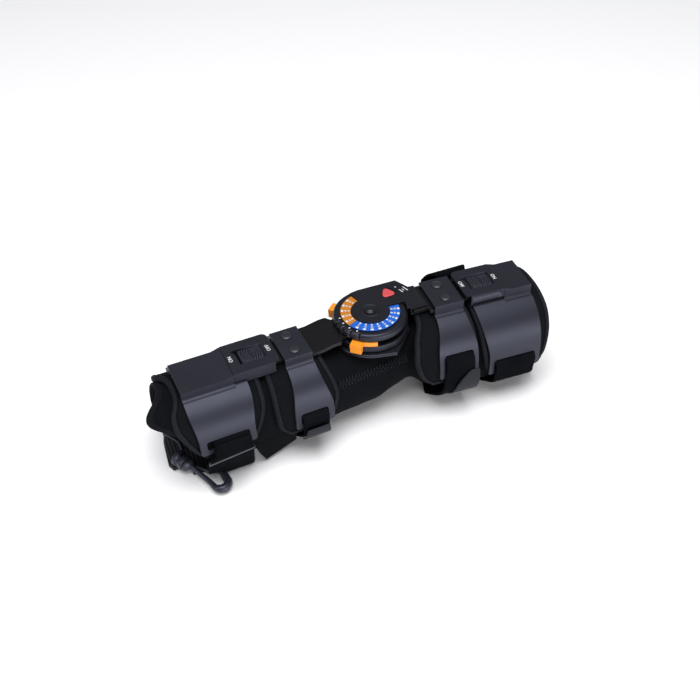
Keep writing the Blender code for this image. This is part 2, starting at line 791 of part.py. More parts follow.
def make_lever(name, brace):
    """A thin sector in the groove with a thumb tab outside the rim."""
    heading, run = LEVERS[name]
    low = DISC_TOP + GAP
    high = GROOVE_TOP - GAP
    way = math.copysign(1, run)
    tab_turn = math.degrees(math.asin(TAB_HALF / LEVER_OUTER))
    outline = arc((0.0, 0.0), LEVER_OUTER, heading + run, heading + way * tab_turn, 5)
    for reach, across in ((TAB_OUTER, TAB_HALF), (TAB_OUTER, -TAB_HALF), (LEVER_INNER + 0.0060, -TAB_HALF)):
        angle = math.radians(heading)
        side = way * across
        outline.append((
            reach * math.cos(angle) - side * math.sin(angle), reach * math.sin(angle) + side * math.cos(angle),
        ))
    outline += arc((0.0, 0.0), LEVER_INNER, heading - way * 6, heading + run, 6)
    lever = place(name, prism_mesh(outline, low, high), orange_plastic(), brace)
    inset = 0.0002
    inner = DISC_RADIUS + 0.0008
    outer = TAB_OUTER - inset
    half = TAB_HALF - inset
    outline = [(inner, -half), (outer, -half), (outer, half), (inner, half)]
    skirt = place(name + "_skirt", prism_mesh(outline, low - TAB_DROP, high - 0.0012), orange_plastic(), brace)
    skirt.rotation_euler = (0.0, 0.0, math.radians(heading))
    join(lever, skirt)


# Straps: edges counted from the hinge, and the way down from the slot as (across, height) rows

STRAPS = {
    "left_outer": {
        "edges": (0.1335, 0.1648), "start": 0.0535,
        "down": ((0.0455, 0.0330), (0.0385, 0.0215), (0.0325, 0.0100), (0.0290, 0.0022), (0.0230, STRAP_LIFT)),
    },
    "left_inner": {
        "edges": (0.0630, 0.0868), "start": 0.0475,
        "down": ((0.0462, 0.0300), (0.0395, 0.0215), (0.0300, 0.0125), (0.0210, 0.0050), (0.0140, STRAP_LIFT)),
    },
    "right_inner": {
        "edges": (0.0528, 0.0795), "start": 0.0600,
        "down": ((0.0480, 0.0310), (0.0400, 0.0215), (0.0310, 0.0130), (0.0230, 0.0060), (0.0150, STRAP_LIFT)),
    },
    "right_outer": {
        "edges": (0.1014, 0.1405), "start": 0.0455,
        "down": ((0.0488, 0.0285), (0.0440, 0.0215), (0.0355, 0.0135), (0.0260, 0.0062), (0.0150, STRAP_LIFT)),
    },
}


def strap_half(name, side):
    """Middle line of one half, from inside the slot over the cuff's lower rim to the floor."""
    data = STRAPS[name]
    rim = CUFFS[name]["height"]
    slot_low = CUFFS[name]["slot"][0]
    clear = CUFF_OUT + GAP + STRAP_THICK / 2
    inside = CUFF_OUT - CUFF_WALL + STRAP_THICK / 2
    line = [oval_point(side, inside, angle_at_height(side, inside, data["start"]))]
    line += [oval_point(side, clear, angle_at_height(side, clear, slot_low + 0.0030))]
    line += [oval_point(side, clear, angle_at_height(side, clear, rim))]
    return line + list(data["down"])


def thick_rows(line, thickness):
    """(outer, inner) pairs either side of a line of (across, height) points."""
    pairs = []
    for index, (across, up) in enumerate(line):
        before = Vector(line[max(index - 1, 0)])
        after = Vector(line[min(index + 1, len(line) - 1)])
        way = (after - before).normalized()
        normal = Vector((way[1], -way[0])) * thickness / 2
        pairs.append(((across - normal[0], up - normal[1]), (across + normal[0], up + normal[1])))
    return pairs


def make_strap(name, side, parent):
    half = strap_half(name, side)
    line = half + [(-across, up) for across, up in reversed(half)]
    near, far = STRAPS[name]["edges"]
    rows = [[pair] * 2 for pair in thick_rows(line, STRAP_THICK)]
    outer, inner = grids(side, rows, lambda height: [near, far])
    place("strap_" + name, wall_mesh(outer, inner), strap_cloth(), parent)


# Folded strap ends on the front: middle line as (across, height), and edges from the hinge

STRAP_ENDS = {
    "left_outer": (((0.0513, 0.0500), (0.0512, 0.0430), (0.0500, 0.0360), (0.0472, 0.0300), (0.0425, 0.0212)), 0.1340, 0.1645),
    "left_inner": (((0.0514, 0.0400), (0.0507, 0.0335), (0.0484, 0.0280), (0.0440, 0.0232)), 0.0640, 0.0865),
    "right_inner": (((0.0538, 0.0450), (0.0530, 0.0370), (0.0505, 0.0290), (0.0455, 0.0228), (0.0385, 0.0165)), 0.0545, 0.0830),
}


def make_strap_end(name, side, parent):
    line, near, far = STRAP_ENDS[name]
    rows = [[pair] * 2 for pair in thick_rows([(-across, up) for across, up in line], STRAP_THICK)]
    outer, inner = grids(side, rows, lambda height: [near, far])
    place("strap_end_" + name, wall_mesh(outer, inner), strap_cloth(), parent)


FOLD_THICK = 0.0024


def make_strap_fold(parent):
    """A strap doubled over that stands up behind the right inner cuff, from its back side."""
    line = [(0.0240, 0.0985), (0.0256, 0.1012), (0.0290, 0.1014), (0.0325, 0.0990), (0.0370, 0.0940)]
    line += [(0.0412, 0.0880), (0.0442, 0.0820)]
    clear = CUFF_OUT + GAP + FOLD_THICK / 2
    line += [oval_point("right", clear, angle_at_height("right", clear, up)) for up in (0.0750, 0.0690)]
    rows = [[pair] * 3 for pair in thick_rows(line, FOLD_THICK)]
    outer, inner = grids("right", rows, lambda height: [0.0680, 0.0800, 0.1040])
    holes = [(row, 1) for row in (5, 6, 7)]
    place("strap_fold_right", wall_mesh(outer, inner, holes), strap_cloth(), parent)


# Snap hook, lying flat: points as (along the brace, across, height)

HOOK_HEIGHT = 0.0056
HOOK_WIRE = 0.0023
HOOK_BEND = (-0.1624, -0.0550)
BARREL_FROM = (-0.1900, -0.0162, 0.0106)
BARREL_TO = (-0.1846, -0.0266, 0.0098)
HOOK_SHANK = ((-0.1814, -0.0300, 0.0088), (-0.1776, -0.0362, 0.0070), (-0.1706, -0.0506, HOOK_HEIGHT))
HOOK_NOSE = ((-0.1566, -0.0462), (-0.1600, -0.0432), (-0.1655, -0.0414))
GATE_FROM = (-0.1779, -0.0270)
GATE_TO = (-0.1690, -0.0388)


def tube_mesh(path, radii, sides=8):
    """A closed round bar through (x, y, z) points, with a radius for each."""
    verts, faces = [], []
    for index, point in enumerate(path):
        before = Vector(path[max(index - 1, 0)])
        after = Vector(path[min(index + 1, len(path) - 1)])
        way = (after - before).normalized()
        across = Vector((0.0, 0.0, 1.0)).cross(way).normalized()
        over = way.cross(across)
        for side in range(sides):
            angle = 2 * math.pi * (side + 0.5) / sides
            offset = across * math.cos(angle) + over * math.sin(angle)
            verts.append(tuple(Vector(point) + offset * radii[index]))
    for row in range(len(path) - 1):
        for side in range(sides):
            after = (side + 1) % sides
            a, b = row * sides + side, row * sides + after
            faces.append((a, a + sides, b + sides, b))
    faces.append(tuple(range(sides)))
    faces.append(tuple(range(len(verts) - sides, len(verts)))[::-1])
    return mesh_from(verts, faces)


def make_snap_hook(arm):
    """Collar, shank and hooked end in one moulding, thickest in the bend."""
    flat = arc(HOOK_BEND, 0.0070, 205, 385, 8) + list(HOOK_NOSE)
    path = list(HOOK_SHANK) + [(x, y, HOOK_HEIGHT) for x, y in flat]
    radii = [HOOK_WIRE] * 3 + [0.0024, 0.0026, 0.0029, 0.0031, 0.0032, 0.0031, 0.0029, 0.0026, 0.0024]
    radii += [0.0021, 0.0019, 0.0016]
    body = place("snap_hook", tube_mesh(path, radii), hook_plastic(), arm)
    start = Vector(BARREL_TO)
    way = (start - Vector(BARREL_FROM)).normalized()
    collar = [tuple(start + way * part) for part in (GAP, 0.0028, 0.0038, 0.0060)]
    join(body, place("hook_collar", tube_mesh(collar, [0.0062, 0.0062, 0.0050, 0.0022], 14), hook_plastic(), arm))


def make_hook_gate(arm):
    """Sprung bar that closes the hook's mouth; its origin is on its pivot."""
    end = (GATE_TO[0] - GATE_FROM[0], GATE_TO[1] - GATE_FROM[1], 0.0)
    mesh = tube_mesh([(0.0, 0.0, 0.0), end], [0.0014, 0.0014], 6)
    place("hook_gate", mesh, hook_plastic(), arm, (*GATE_FROM, HOOK_HEIGHT))


def make_hook_frame(arm):
    """Swivel barrel with the eye that the webbing runs through."""
    start, end = Vector(BARREL_FROM), Vector(BARREL_TO)
    path = [tuple(start.lerp(end, part)) for part in (0.0, 0.12, 0.88, 1.0)]
    barrel = tube_mesh(path, [0.0060, 0.0068, 0.0068, 0.0062], 14)
    frame = place("hook_frame", barrel, hook_plastic(), arm)
    eye = [(-0.1872, -0.0190, 0.0112), (-0.1854, -0.0115, 0.0134), (-0.1863, -0.0044, 0.0140)]
    eye += [(-0.1892, 0.0016, 0.0140), (-0.1930, 0.0072, 0.0132), (-0.1978, 0.0100, 0.0104)]
    eye += [(-0.1996, 0.0088, 0.0066), (-0.1965, 0.0060, 0.0050), (-0.1850, 0.0006, 0.0050)]
    eye += [(-0.1800, -0.0030, 0.0060), (-0.1790, -0.0095, 0.0084), (-0.1828, -0.0152, 0.0104)]
    eye += [(-0.1868, -0.0200, 0.0104)]
    join(frame, place("hook_eye", tube_mesh(eye, [0.0016] * len(eye), 6), hook_plastic(), arm))


WEBBING_EDGES = (-0.1972, -0.1815)
WEBBING_SEAM = -0.1660


def make_hook_webbing(arm):
    """Webbing doubled over the eye's low bar, with a side tail sewn along the outer strap's edge."""
    line = [(0.0290, 0.0048), (0.0200, 0.0013), (0.0100, 0.0010), (-0.0040, 0.0010), (-0.0205, 0.0010)]
    line += [(-0.0217, 0.0019), (-0.0205, 0.0028), (-0.0140, 0.0028), (-0.0095, 0.0066), (-0.0060, 0.0080)]
    line += [(0.0060, 0.0080), (0.0140, 0.0058)]
    rows = thick_rows(line, 0.0014)
    columns = (*WEBBING_EDGES, WEBBING_SEAM)
    outer = [[(x, *pair[0]) for x in columns] for pair in rows]
    inner = [[(x, *pair[1]) for x in columns] for pair in rows]
    holes = [(row, 1) for row in range(len(rows) - 1) if row not in (1, 2)]
    place("hook_webbing", wall_mesh(outer, inner, holes), strap_cloth(), arm)


def build():
    clear_scene()
    brace = new_empty("brace", None, (HINGE_X, HINGE_Y, 0.0))
    arms = {side: new_empty(side + "_arm", brace, (0.0, 0.0, 0.0), ARM_TURN[side]) for side in SIGN}
    make_sleeve(brace)
    for name in CUFFS:
        side = name.split("_")[0]
        make_pad(name, side, arms[side])
        make_cuff(name, side, arms[side])
        make_strap(name, side, arms[side])
    for name in STRAP_ENDS:
        side = name.split("_")[0]
        make_strap_end(name, side, arms[side])
    for side, arm in arms.items():
        make_rivets(side, arm)
        make_housing(side, arm)
        make_slider_button(side, arm)
    make_strap_fold(arms["right"])
    make_forearm_bar(arms["left"])
    make_upper_arm_bar(arms["right"])
    make_base_plate(brace)
    make_lower_disc(brace)
    make_dial(brace)
    make_rings(brace)
    make_cover(brace, arms["right"])
    make_lock_button(brace)
    make_hinge_rivet(brace)
    for name in LEVERS:
        make_lever(name, brace)
    make_snap_hook(brace)
    make_hook_gate(brace)
    make_hook_frame(brace)
    make_hook_webbing(brace)


build()
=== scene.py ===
import math

import bmesh
import bpy
from mathutils import Matrix, Vector, noise


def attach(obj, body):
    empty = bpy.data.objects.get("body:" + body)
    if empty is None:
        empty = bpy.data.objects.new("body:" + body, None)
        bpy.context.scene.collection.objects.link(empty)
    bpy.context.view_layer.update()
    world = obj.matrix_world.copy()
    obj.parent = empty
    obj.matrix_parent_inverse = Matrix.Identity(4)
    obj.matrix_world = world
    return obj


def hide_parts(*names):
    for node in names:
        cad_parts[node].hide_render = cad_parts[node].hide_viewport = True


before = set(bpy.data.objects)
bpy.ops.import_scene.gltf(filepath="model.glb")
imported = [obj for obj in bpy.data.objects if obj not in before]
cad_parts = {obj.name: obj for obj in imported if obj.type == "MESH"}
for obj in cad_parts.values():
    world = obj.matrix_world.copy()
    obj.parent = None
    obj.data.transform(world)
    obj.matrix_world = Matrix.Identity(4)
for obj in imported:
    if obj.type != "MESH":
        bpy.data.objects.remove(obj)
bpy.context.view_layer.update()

# Table, light and camera
# A broad white table top that the brace lies on, lit by soft boxes from the front, the left and above.
# The camera stands in front and above, turned a little to the right.

TABLE_HALF = 6.0
ROOM_LIGHT = 0.26
LENS_MM, SENSOR_MM = 47.04, 36.0
CAMERA_AT, CAMERA_TURN = (-0.217096, -0.553725, 0.615358), (0.8282, 0.0149, -0.3907)
# name, where it stands, what it faces, width, height and watts
SOFT_BOXES = (
    ("front_box", (0.40, -1.6, 0.30), (0.05, 0.0, 0.05), 1.8, 0.50, 17),
    ("top_box", (-0.1, -0.35, 2.4), (0.0, 0.0, 0.0), 1.8, 1.8, 64),
    ("left_box", (-1.9, -0.2, 1.2), (0.0, 0.0, 0.05), 0.7, 0.7, 8),
)


def linear(code):
    """An sRGB hex colour as linear RGBA."""
    parts = [int(code[i:i + 2], 16) / 255 for i in (1, 3, 5)]
    return (*[c / 12.92 if c <= 0.04045 else ((c + 0.055) / 1.055) ** 2.4 for c in parts], 1.0)


def new_finish(name, colour, roughness, **sockets):
    """A material with a Principled shader, its plain values set on the shader's own sockets."""
    finish = bpy.data.materials.new(name)
    finish.use_nodes = True
    shader = finish.node_tree.nodes["Principled BSDF"]
    shader.inputs["Base Color"].default_value = linear(colour)
    shader.inputs["Roughness"].default_value = roughness
    for socket, value in sockets.items():
        shader.inputs[socket.replace("_", " ").title().replace("Ior", "IOR")].default_value = value
    return finish, finish.node_tree, shader


def placed(name, data):
    """An object that stands in the scene."""
    made = bpy.data.objects.new(name, data)
    bpy.context.collection.objects.link(made)
    return made


def reworked(mesh, change):
    """The mesh after a change to its editable form."""
    work = bmesh.new()
    work.from_mesh(mesh)
    change(work)
    work.to_mesh(mesh)
    work.free()
    return mesh


def built(name, points, faces, marks=(), outward=False):
    """A mesh of points and faces, each face with its material's number, turned outwards if asked."""
    mesh = bpy.data.meshes.new(name)
    mesh.from_pydata([tuple(point) for point in points], [], faces)
    if marks:
        mesh.polygons.foreach_set("material_index", marks)
    if outward:
        reworked(mesh, lambda work: bmesh.ops.recalc_face_normals(work, faces=work.faces))
    return mesh


# painted board, rolled matt white: an even pale ground with soft shadows
painted_board, tree, shader = new_finish("painted_board", "#FAFAFB", 0.9)
corners = [(TABLE_HALF * x, TABLE_HALF * y, 0) for x, y in ((-1, -1), (1, -1), (1, 1), (-1, 1))]
table_top = placed("table_top", built("table_top", corners, [(0, 1, 2, 3)]))
table_top.data.materials.append(painted_board)

for name, at, towards, wide, tall, watts in SOFT_BOXES:
    lamp = bpy.data.lights.new(name, "AREA")
    lamp.shape = "RECTANGLE"
    lamp.size, lamp.size_y, lamp.energy = wide, tall, watts
    box = placed(name, lamp)
    box.location = at
    box.rotation_euler = (Vector(towards) - Vector(at)).to_track_quat("-Z", "Y").to_euler()
world = bpy.data.worlds.new("room")
bpy.context.scene.world = world
world.use_nodes = True
world.node_tree.nodes["Background"].inputs["Color"].default_value = linear("#F4F5F8")
world.node_tree.nodes["Background"].inputs["Strength"].default_value = ROOM_LIGHT
bpy.context.scene.view_settings.view_transform = "Standard"

lens = bpy.data.cameras.new("camera")
lens.lens, lens.sensor_width = LENS_MM, SENSOR_MM
camera = placed("camera", lens)
camera.location, camera.rotation_euler = CAMERA_AT, CAMERA_TURN
bpy.context.scene.camera = camera


# Sleeve
# One knitted tube from the upper arm to the forearm, about 2.5 mm thick, sewn along its length.
# Its forearm end is cut on a slant and its edges are turned under and stitched.

HINGE_X, HINGE_Y = 0.024835, 0.007530
HALF_BEND = math.radians(2.65)
BRACE = Matrix.Translation((HINGE_X, HINGE_Y, 0.0))
OVAL_POWER = 2.3
# each arm's oval: half its width, half its height, height of its middle
CORE = {"left": (0.0395, 0.0390, 0.0411), "right": (0.0420, 0.0432, 0.0453)}
SLEEVE_WALL = 0.0025
SLEEVE_END = 0.1560
SLEEVE_SIDES = 108
# place along the brace, then the oval there as in CORE
SLEEVE_STATIONS = (
    (-0.2200, *CORE["left"]), (-0.1080, *CORE["left"]), (-0.0900, 0.0385, 0.0375, 0.0426),
    (-0.0620, 0.0385, 0.0375, 0.0426), (-0.0420, 0.0362, 0.0340, 0.0432),
    (-0.0050, 0.0355, 0.0336, 0.0436), (0.0200, 0.0285, 0.0292, 0.0480),
    (0.0330, 0.0255, 0.0272, 0.0500), (0.0450, 0.0360, 0.0375, 0.0475),
    (0.0540, 0.0400, 0.0405, 0.0480), (0.0820, 0.0400, 0.0405, 0.0480), (0.0980, *CORE["right"]),
    (SLEEVE_END, *CORE["right"]),
)
STATION_REACH = 0.006
# degrees from the back over the top and round, and where the forearm end is cut there
SLEEVE_HEM = (
    (0, -0.1960), (70, -0.1935), (88, -0.1950), (97, -0.2015), (106, -0.2075), (114, -0.2105),
    (122, -0.2110), (129, -0.2080), (136, -0.2020), (145, -0.1930), (155, -0.1850), (167, -0.1790),
    (180, -0.1740), (205, -0.1580), (225, -0.1400), (250, -0.1200), (270, -0.1150), (285, -0.1300),
    (300, -0.1780), (312, -0.1930), (330, -0.1950), (360, -0.1960),
)
HEM_FOLD, HEM_ROUND, HEM_DIP = 0.006, 0.0009, 0.0006
PLAIN_FROM = -0.1080
BEND_REACH = 0.030
CREASE_REACH, CREASE_DEPTH = 0.050, 0.0016
CREASE_ALONG, CREASE_ROUND, CREASE_SKEW = 42, 2.1, 9


def reading(table, at):
    """Linear reading of a table of (key, value, ...) rows with rising keys."""
    if at <= table[0][0]:
        return table[0][1:]
    for lower, upper in zip(table, table[1:]):
        if at <= upper[0]:
            part = (at - lower[0]) / (upper[0] - lower[0])
            return tuple(a + (b - a) * part for a, b in zip(lower[1:], upper[1:]))
    return table[-1][1:]


def eased(table, at, reach):
    """The same reading averaged a little to each side, so that its corners are rounded."""
    rows = [reading(table, at + reach * step / 3) for step in range(-3, 4)]
    return tuple(sum(values) / 7 for values in zip(*rows))


def shell(outer, inner, holes=(), ring=False, trim=()):
    """A closed wall between two like grids of points; rows run round it and columns along it.

    holes are (row, column) cells left open, and trim are cells that take the second material.
    """
    rows, columns = len(outer), len(outer[0])
    spans = rows if ring else rows - 1
    points = [point for row in outer for point in row] + [point for row in inner for point in row]
    shift = rows * columns
    gaps, trimmed = set(holes), set(trim)

    def at(row, column):
        return (row % rows) * columns + column

    def solid(row, column):
        if not 0 <= column < columns - 1 or not (ring or 0 <= row < spans):
            return False
        return (row % rows if ring else row, column) not in gaps

    faces, marks = [], []
    for row in range(spans):
        for column in range(columns - 1):
            if not solid(row, column):
                continue
            a, b = at(row, column), at(row, column + 1)
            d, c = at(row + 1, column), at(row + 1, column + 1)
            cell = [(a, b, c, d), (a + shift, d + shift, c + shift, b + shift)]
            edges = (((row - 1, column), b, a), ((row + 1, column), d, c))
            edges += (((row, column - 1), a, d), ((row, column + 1), c, b))
            for near, start, end in edges:
                if not solid(*near):
                    cell.append((start, end, end + shift, start + shift))
            faces += cell
            marks += [int((row, column) in trimmed)] * len(cell)
    used = sorted({index for face in faces for index in face})
    order = {index: place for place, index in enumerate(used)}
    faces = [[order[index] for index in face] for face in faces]
    return built("shell", [points[index] for index in used], faces, marks, outward=True)


def put(name, mesh, finishes, body, stands_for=(), at=BRACE):
    """Places a mesh given in the brace's or an arm's frame as a named piece on a body."""
    mesh.name = name
    mesh.transform(at)
    mesh.shade_smooth()
    for finish in finishes:
        mesh.materials.append(finish)
    piece = placed(name, mesh)
    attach(piece, body)
    if stands_for:
        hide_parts(*stands_for)
    return piece


def add(tree, kind, values=None, links=None, **settings):
    """Adds a node: settings are its properties, values fill its inputs, links join them to outputs."""
    made = tree.nodes.new("ShaderNode" + kind)
    for name, value in settings.items():
        setattr(made, name, value)
    for name, value in (values or {}).items():
        made.inputs[name].default_value = value
    for name, (source, output) in (links or {}).items():
        tree.links.new(source.outputs[output], made.inputs[name])
    return made


def cloth(name, dark, light, thread, height, roughness, fuzz, gloss=0.07):
    """Fabric: a pebbled surface at the thread's size, a slow change of shade and a soft sheen."""
    finish, tree, shader = new_finish(
        name, dark, roughness, sheen_weight=fuzz, sheen_roughness=0.5, sheen_tint=linear("#70727C"),
        specular_ior_level=gloss,
    )
    where = {"Vector": (add(tree, "TexCoord"), "Object")}
    threads = add(tree, "TexVoronoi", {"Scale": 1 / thread}, where)
    fibres = add(tree, "TexNoise", {"Scale": 1.6 / thread, "Detail": 3.0}, where)
    cloudy = add(tree, "TexNoise", {"Scale": 38.0, "Detail": 2.0}, where)
    shade = add(tree, "MapRange", {"From Min": 0.25, "From Max": 0.85}, {"Value": (fibres, "Fac")})
    both = add(tree, "Math", {1: 0.6}, {0: (shade, "Result"), 2: (cloudy, "Fac")}, operation="MULTIPLY_ADD")
    part = add(tree, "Math", {1: 0.8}, {0: (both, "Value")}, operation="MULTIPLY", use_clamp=True)
    mixed = add(tree, "Mix", {6: linear(dark), 7: linear(light)}, {0: (part, "Value")}, data_type="RGBA")
    tree.links.new(mixed.outputs[2], shader.inputs["Base Color"])
    heights = {0: (threads, "Distance"), 2: (fibres, "Fac")}
    relief = add(tree, "Math", {1: -0.6}, heights, operation="MULTIPLY_ADD")
    bump = add(tree, "Bump", {"Strength": 0.8, "Distance": height}, {"Height": (relief, "Value")})
    tree.links.new(bump.outputs["Normal"], shader.inputs["Normal"])
    return finish


# polyester and elastane knit, circular knitted: dull black with a fine pebble of loops
# a loop is 0.9 mm across, drawn at 2 mm so that it shows
knitted_sleeve = cloth("knitted_sleeve", "#050608", "#0F1014", 0.0020, 0.00035, 0.92, 0.02)
# the same knit pressed flat where the edge is turned under: smoother and a shade lighter
turned_hem = cloth("turned_hem", "#08090B", "#15161A", 0.0012, 0.00015, 0.80, 0.03)


def sleeve_frame(along):
    """Offset and turn of the sleeve's middle line, which bends over a short reach at the hinge."""
    if abs(along) >= BEND_REACH:
        return -abs(along) * math.sin(HALF_BEND), math.copysign(HALF_BEND, -along)
    part = along / BEND_REACH
    return -BEND_REACH * math.sin(HALF_BEND) * (0.5 + 0.5 * part * part), -HALF_BEND * part


def oval(half_width, half_height, middle, angle):
    """(across, up) on an oval; angle 0 is the back and 90 degrees the top."""
    cosine, sine = math.cos(angle), math.sin(angle)
    across = half_width * math.copysign(abs(cosine) ** (2 / OVAL_POWER), cosine)
    return across, middle + half_height * math.copysign(abs(sine) ** (2 / OVAL_POWER), sine)


def sleeve_point(at, angle, sunk):
    """A point on the sleeve, sunk under its face and into the creases at the elbow."""
    half_width, half_height, middle = eased(SLEEVE_STATIONS, at, STATION_REACH)
    shift, turn = sleeve_frame(at)
    if abs(at) < CREASE_REACH:
        across, up = CREASE_ROUND * math.cos(angle), CREASE_ROUND * math.sin(angle)
        place = Vector((at * CREASE_ALONG, across, up + at * CREASE_SKEW))
        fade = 1 - (at / CREASE_REACH) ** 2
        sunk += fade * CREASE_DEPTH * max(0.0, noise.noise(place) + 0.25)
    across, up = oval(half_width - sunk, half_height - sunk, middle, angle)
    return (at - across * math.sin(turn), shift + across * math.cos(turn), up)


def sleeve_columns(angle):
    """Places along the sleeve, close together at its two folded edges."""
    hem = eased(SLEEVE_HEM, math.degrees(angle), 7)[0]
    fold, far_fold = hem + HEM_FOLD, SLEEVE_END - HEM_FOLD
    places = [hem, hem + 0.0012, fold - 0.0006, fold]
    places += [fold + (PLAIN_FROM - fold) * step / 12 for step in range(1, 13)]
    places += [PLAIN_FROM + (far_fold - PLAIN_FROM) * step / 88 for step in range(1, 89)]
    return places + [far_fold + 0.0006, SLEEVE_END - 0.0012, SLEEVE_END]


outer, inner = [], []
for step in range(SLEEVE_SIDES):
    angle = 2 * math.pi * step / SLEEVE_SIDES
    columns = sleeve_columns(angle)
    last = len(columns) - 1
    sunk = {0: HEM_ROUND, 3: HEM_DIP, last - 3: HEM_DIP, last: HEM_ROUND}
    outer.append([sleeve_point(at, angle, sunk.get(column, 0.0)) for column, at in enumerate(columns)])
    walls = [SLEEVE_WALL - (HEM_ROUND if column in (0, last) else 0.0) for column in range(last + 1)]
    inner.append([sleeve_point(at, angle, wall) for at, wall in zip(columns, walls)])
hems = [(row, column) for row in range(SLEEVE_SIDES) for column in (0, 1, 2, last - 3, last - 2, last - 1)]
sleeve_mesh = shell(outer, inner, ring=True, trim=hems)
sleeve = put("sleeve_knit", sleeve_mesh, [knitted_sleeve, turned_hem], "brace", ["sleeve"])


# Pads
# A foam saddle under each cuff, covered in brushed cloth, with its edge bound in woven tape.
# The tape is stitched through the foam, which leaves a groove beside it.

WAY = {"left": -1, "right": 1}
ARM = {side: BRACE @ Matrix.Rotation(-WAY[side] * HALF_BEND, 4, "Z") for side in WAY}
GAP = 0.0003
PAD_WALL = 0.0050
PAD_OUT = GAP + PAD_WALL
# height, and where the pad's two edges lie along the arm at that height
PAD_EDGES = {
    "left_outer": (
        (0.0370, 0.1330, 0.1710), (0.0460, 0.1250, 0.1800), (0.0580, 0.1190, 0.1865),
        (0.0700, 0.1138, 0.1925), (0.0780, 0.1130, 0.1925), (0.0820, 0.1127, 0.1900),
        (0.0838, 0.1125, 0.1850), (0.0850, 0.1125, 0.1818),
    ),
    "left_inner": (
        (0.0295, 0.0630, 0.0960), (0.0410, 0.0545, 0.1070), (0.0590, 0.0490, 0.1085),
        (0.0710, 0.0505, 0.1080), (0.0850, 0.0550, 0.1067),
    ),
    "right_inner": (
        (0.0370, 0.0430, 0.0800), (0.0490, 0.0305, 0.0866), (0.0660, 0.0255, 0.0868),
        (0.0840, 0.0295, 0.0862), (0.0932, 0.0385, 0.0855),
    ),
    "right_outer": (
        (0.0310, 0.1000, 0.1450), (0.0410, 0.0935, 0.1535), (0.0670, 0.0895, 0.1573),
        (0.0840, 0.0885, 0.1592), (0.0932, 0.0880, 0.1590),
    ),
}
CUFF_BODY = {
    "left_outer": "left_outer", "left_inner": "brace", "right_inner": "brace", "right_outer": "right_outer",
}
TAPE_WIDTH, TAPE_ROUND, TAPE_DROP = 0.0042, 0.0016, 0.0019
GROOVE_AT, GROOVE_END, GROOVE_REACH, GROOVE_DEPTH = 0.0049, 0.0056, 0.0012, 0.0013
FOAM_DROP, FOAM_SWELL, SWELL_FROM = 0.0002, 0.00025, 0.007
SWELL_ALONG, SWELL_ROUND = 260, 210
UNDER_RISE, UNDER_REACH = 0.0010, 0.002
PAD_EASE = 0.0035
EDGE_STEPS = (0.0, 0.0003, 0.0008, 0.0016, 0.0028, 0.0040, 0.0044, 0.0050, 0.0058, 0.0072)
EDGE_WIDTH = EDGE_STEPS[-1]
STITCH_STEP = 4
PAD_ROWS = 34

# open-cell foam faced with brushed nylon tricot: matt, a little furry, lighter where it is rubbed
brushed_tricot = cloth("brushed_tricot", "#07080A", "#131418", 0.0016, 0.00022, 0.95, 0.025)
# polyester binding tape, woven: closer and a little shinier than the foam's cloth
woven_tape = cloth("woven_tape", "#0D0E12", "#1E1F26", 0.0011, 0.00012, 0.72, 0.04)
# spun polyester thread: fine raised dashes, slightly lighter than the tape
spun_thread = cloth("spun_thread", "#1A1B1F", "#303137", 0.0006, 0.00005, 0.6, 0.12)


def oval_on(side, offset, angle):
    """(across, up) on an arm's oval grown by offset."""
    half_width, half_height, middle = CORE[side]
    return oval(half_width + offset, half_height + offset, middle, angle)


def angle_on(half_height, middle, height):
    """The angle of the point at a height on an oval's back half."""
    part = (height - middle) / half_height
    return math.copysign(math.asin(min(1.0, abs(part) ** (OVAL_POWER / 2))), part)


def angle_at_height(side, offset, height):
    """The angle of the point at a height on the back half of an arm's oval grown by offset."""
    return angle_on(CORE[side][1] + offset, CORE[side][2], height)


def stitch_row(name, path, finish, body, at, every=0.0036, length=0.0024, thick=0.00028):
    """Raised stitches along a line of (point, outward way) pairs."""
    points, faces = [], []
    travel, due = 0.0, every / 2
    for (start, rise), (end, _) in zip(path, path[1:]):
        step = (end - start).length
        while step and due <= travel + step:
            middle = start.lerp(end, (due - travel) / step)
            way = (end - start).normalized()
            across = way.cross(rise).normalized()
            first = len(points)
            for part, size, lift in ((-0.5, 0.4, -0.4), (-0.3, 1.0, 0.5), (0.3, 1.0, 0.5), (0.5, 0.4, -0.4)):
                for turn in range(6):
                    angle = math.pi * turn / 3
                    ring = across * math.cos(angle) + rise * math.sin(angle)
                    points.append(middle + way * length * part + rise * thick * lift + ring * thick * size)
            for ring in range(3):
                for turn in range(6):
                    a, b = first + ring * 6 + turn, first + ring * 6 + (turn + 1) % 6
                    faces.append((a, b, b + 6, a + 6))
            faces.append([first + turn for turn in range(5, -1, -1)])
            faces.append([first + 18 + turn for turn in range(6)])
            due += every
        travel += step
    return put(name, built(name, points, faces), [finish], body, (), at)


def pad_sink(depth):
    """How far the pad's face lies under its full height at a distance in from its edge."""
    if depth < TAPE_ROUND:
        return TAPE_DROP * (1 - math.sqrt(1 - (1 - depth / TAPE_ROUND) ** 2))
    if depth < TAPE_WIDTH:
        return 0.0
    if depth < GROOVE_END:
        return GROOVE_DEPTH * (1 - abs(depth - GROOVE_AT) / GROOVE_REACH)
    return FOAM_DROP


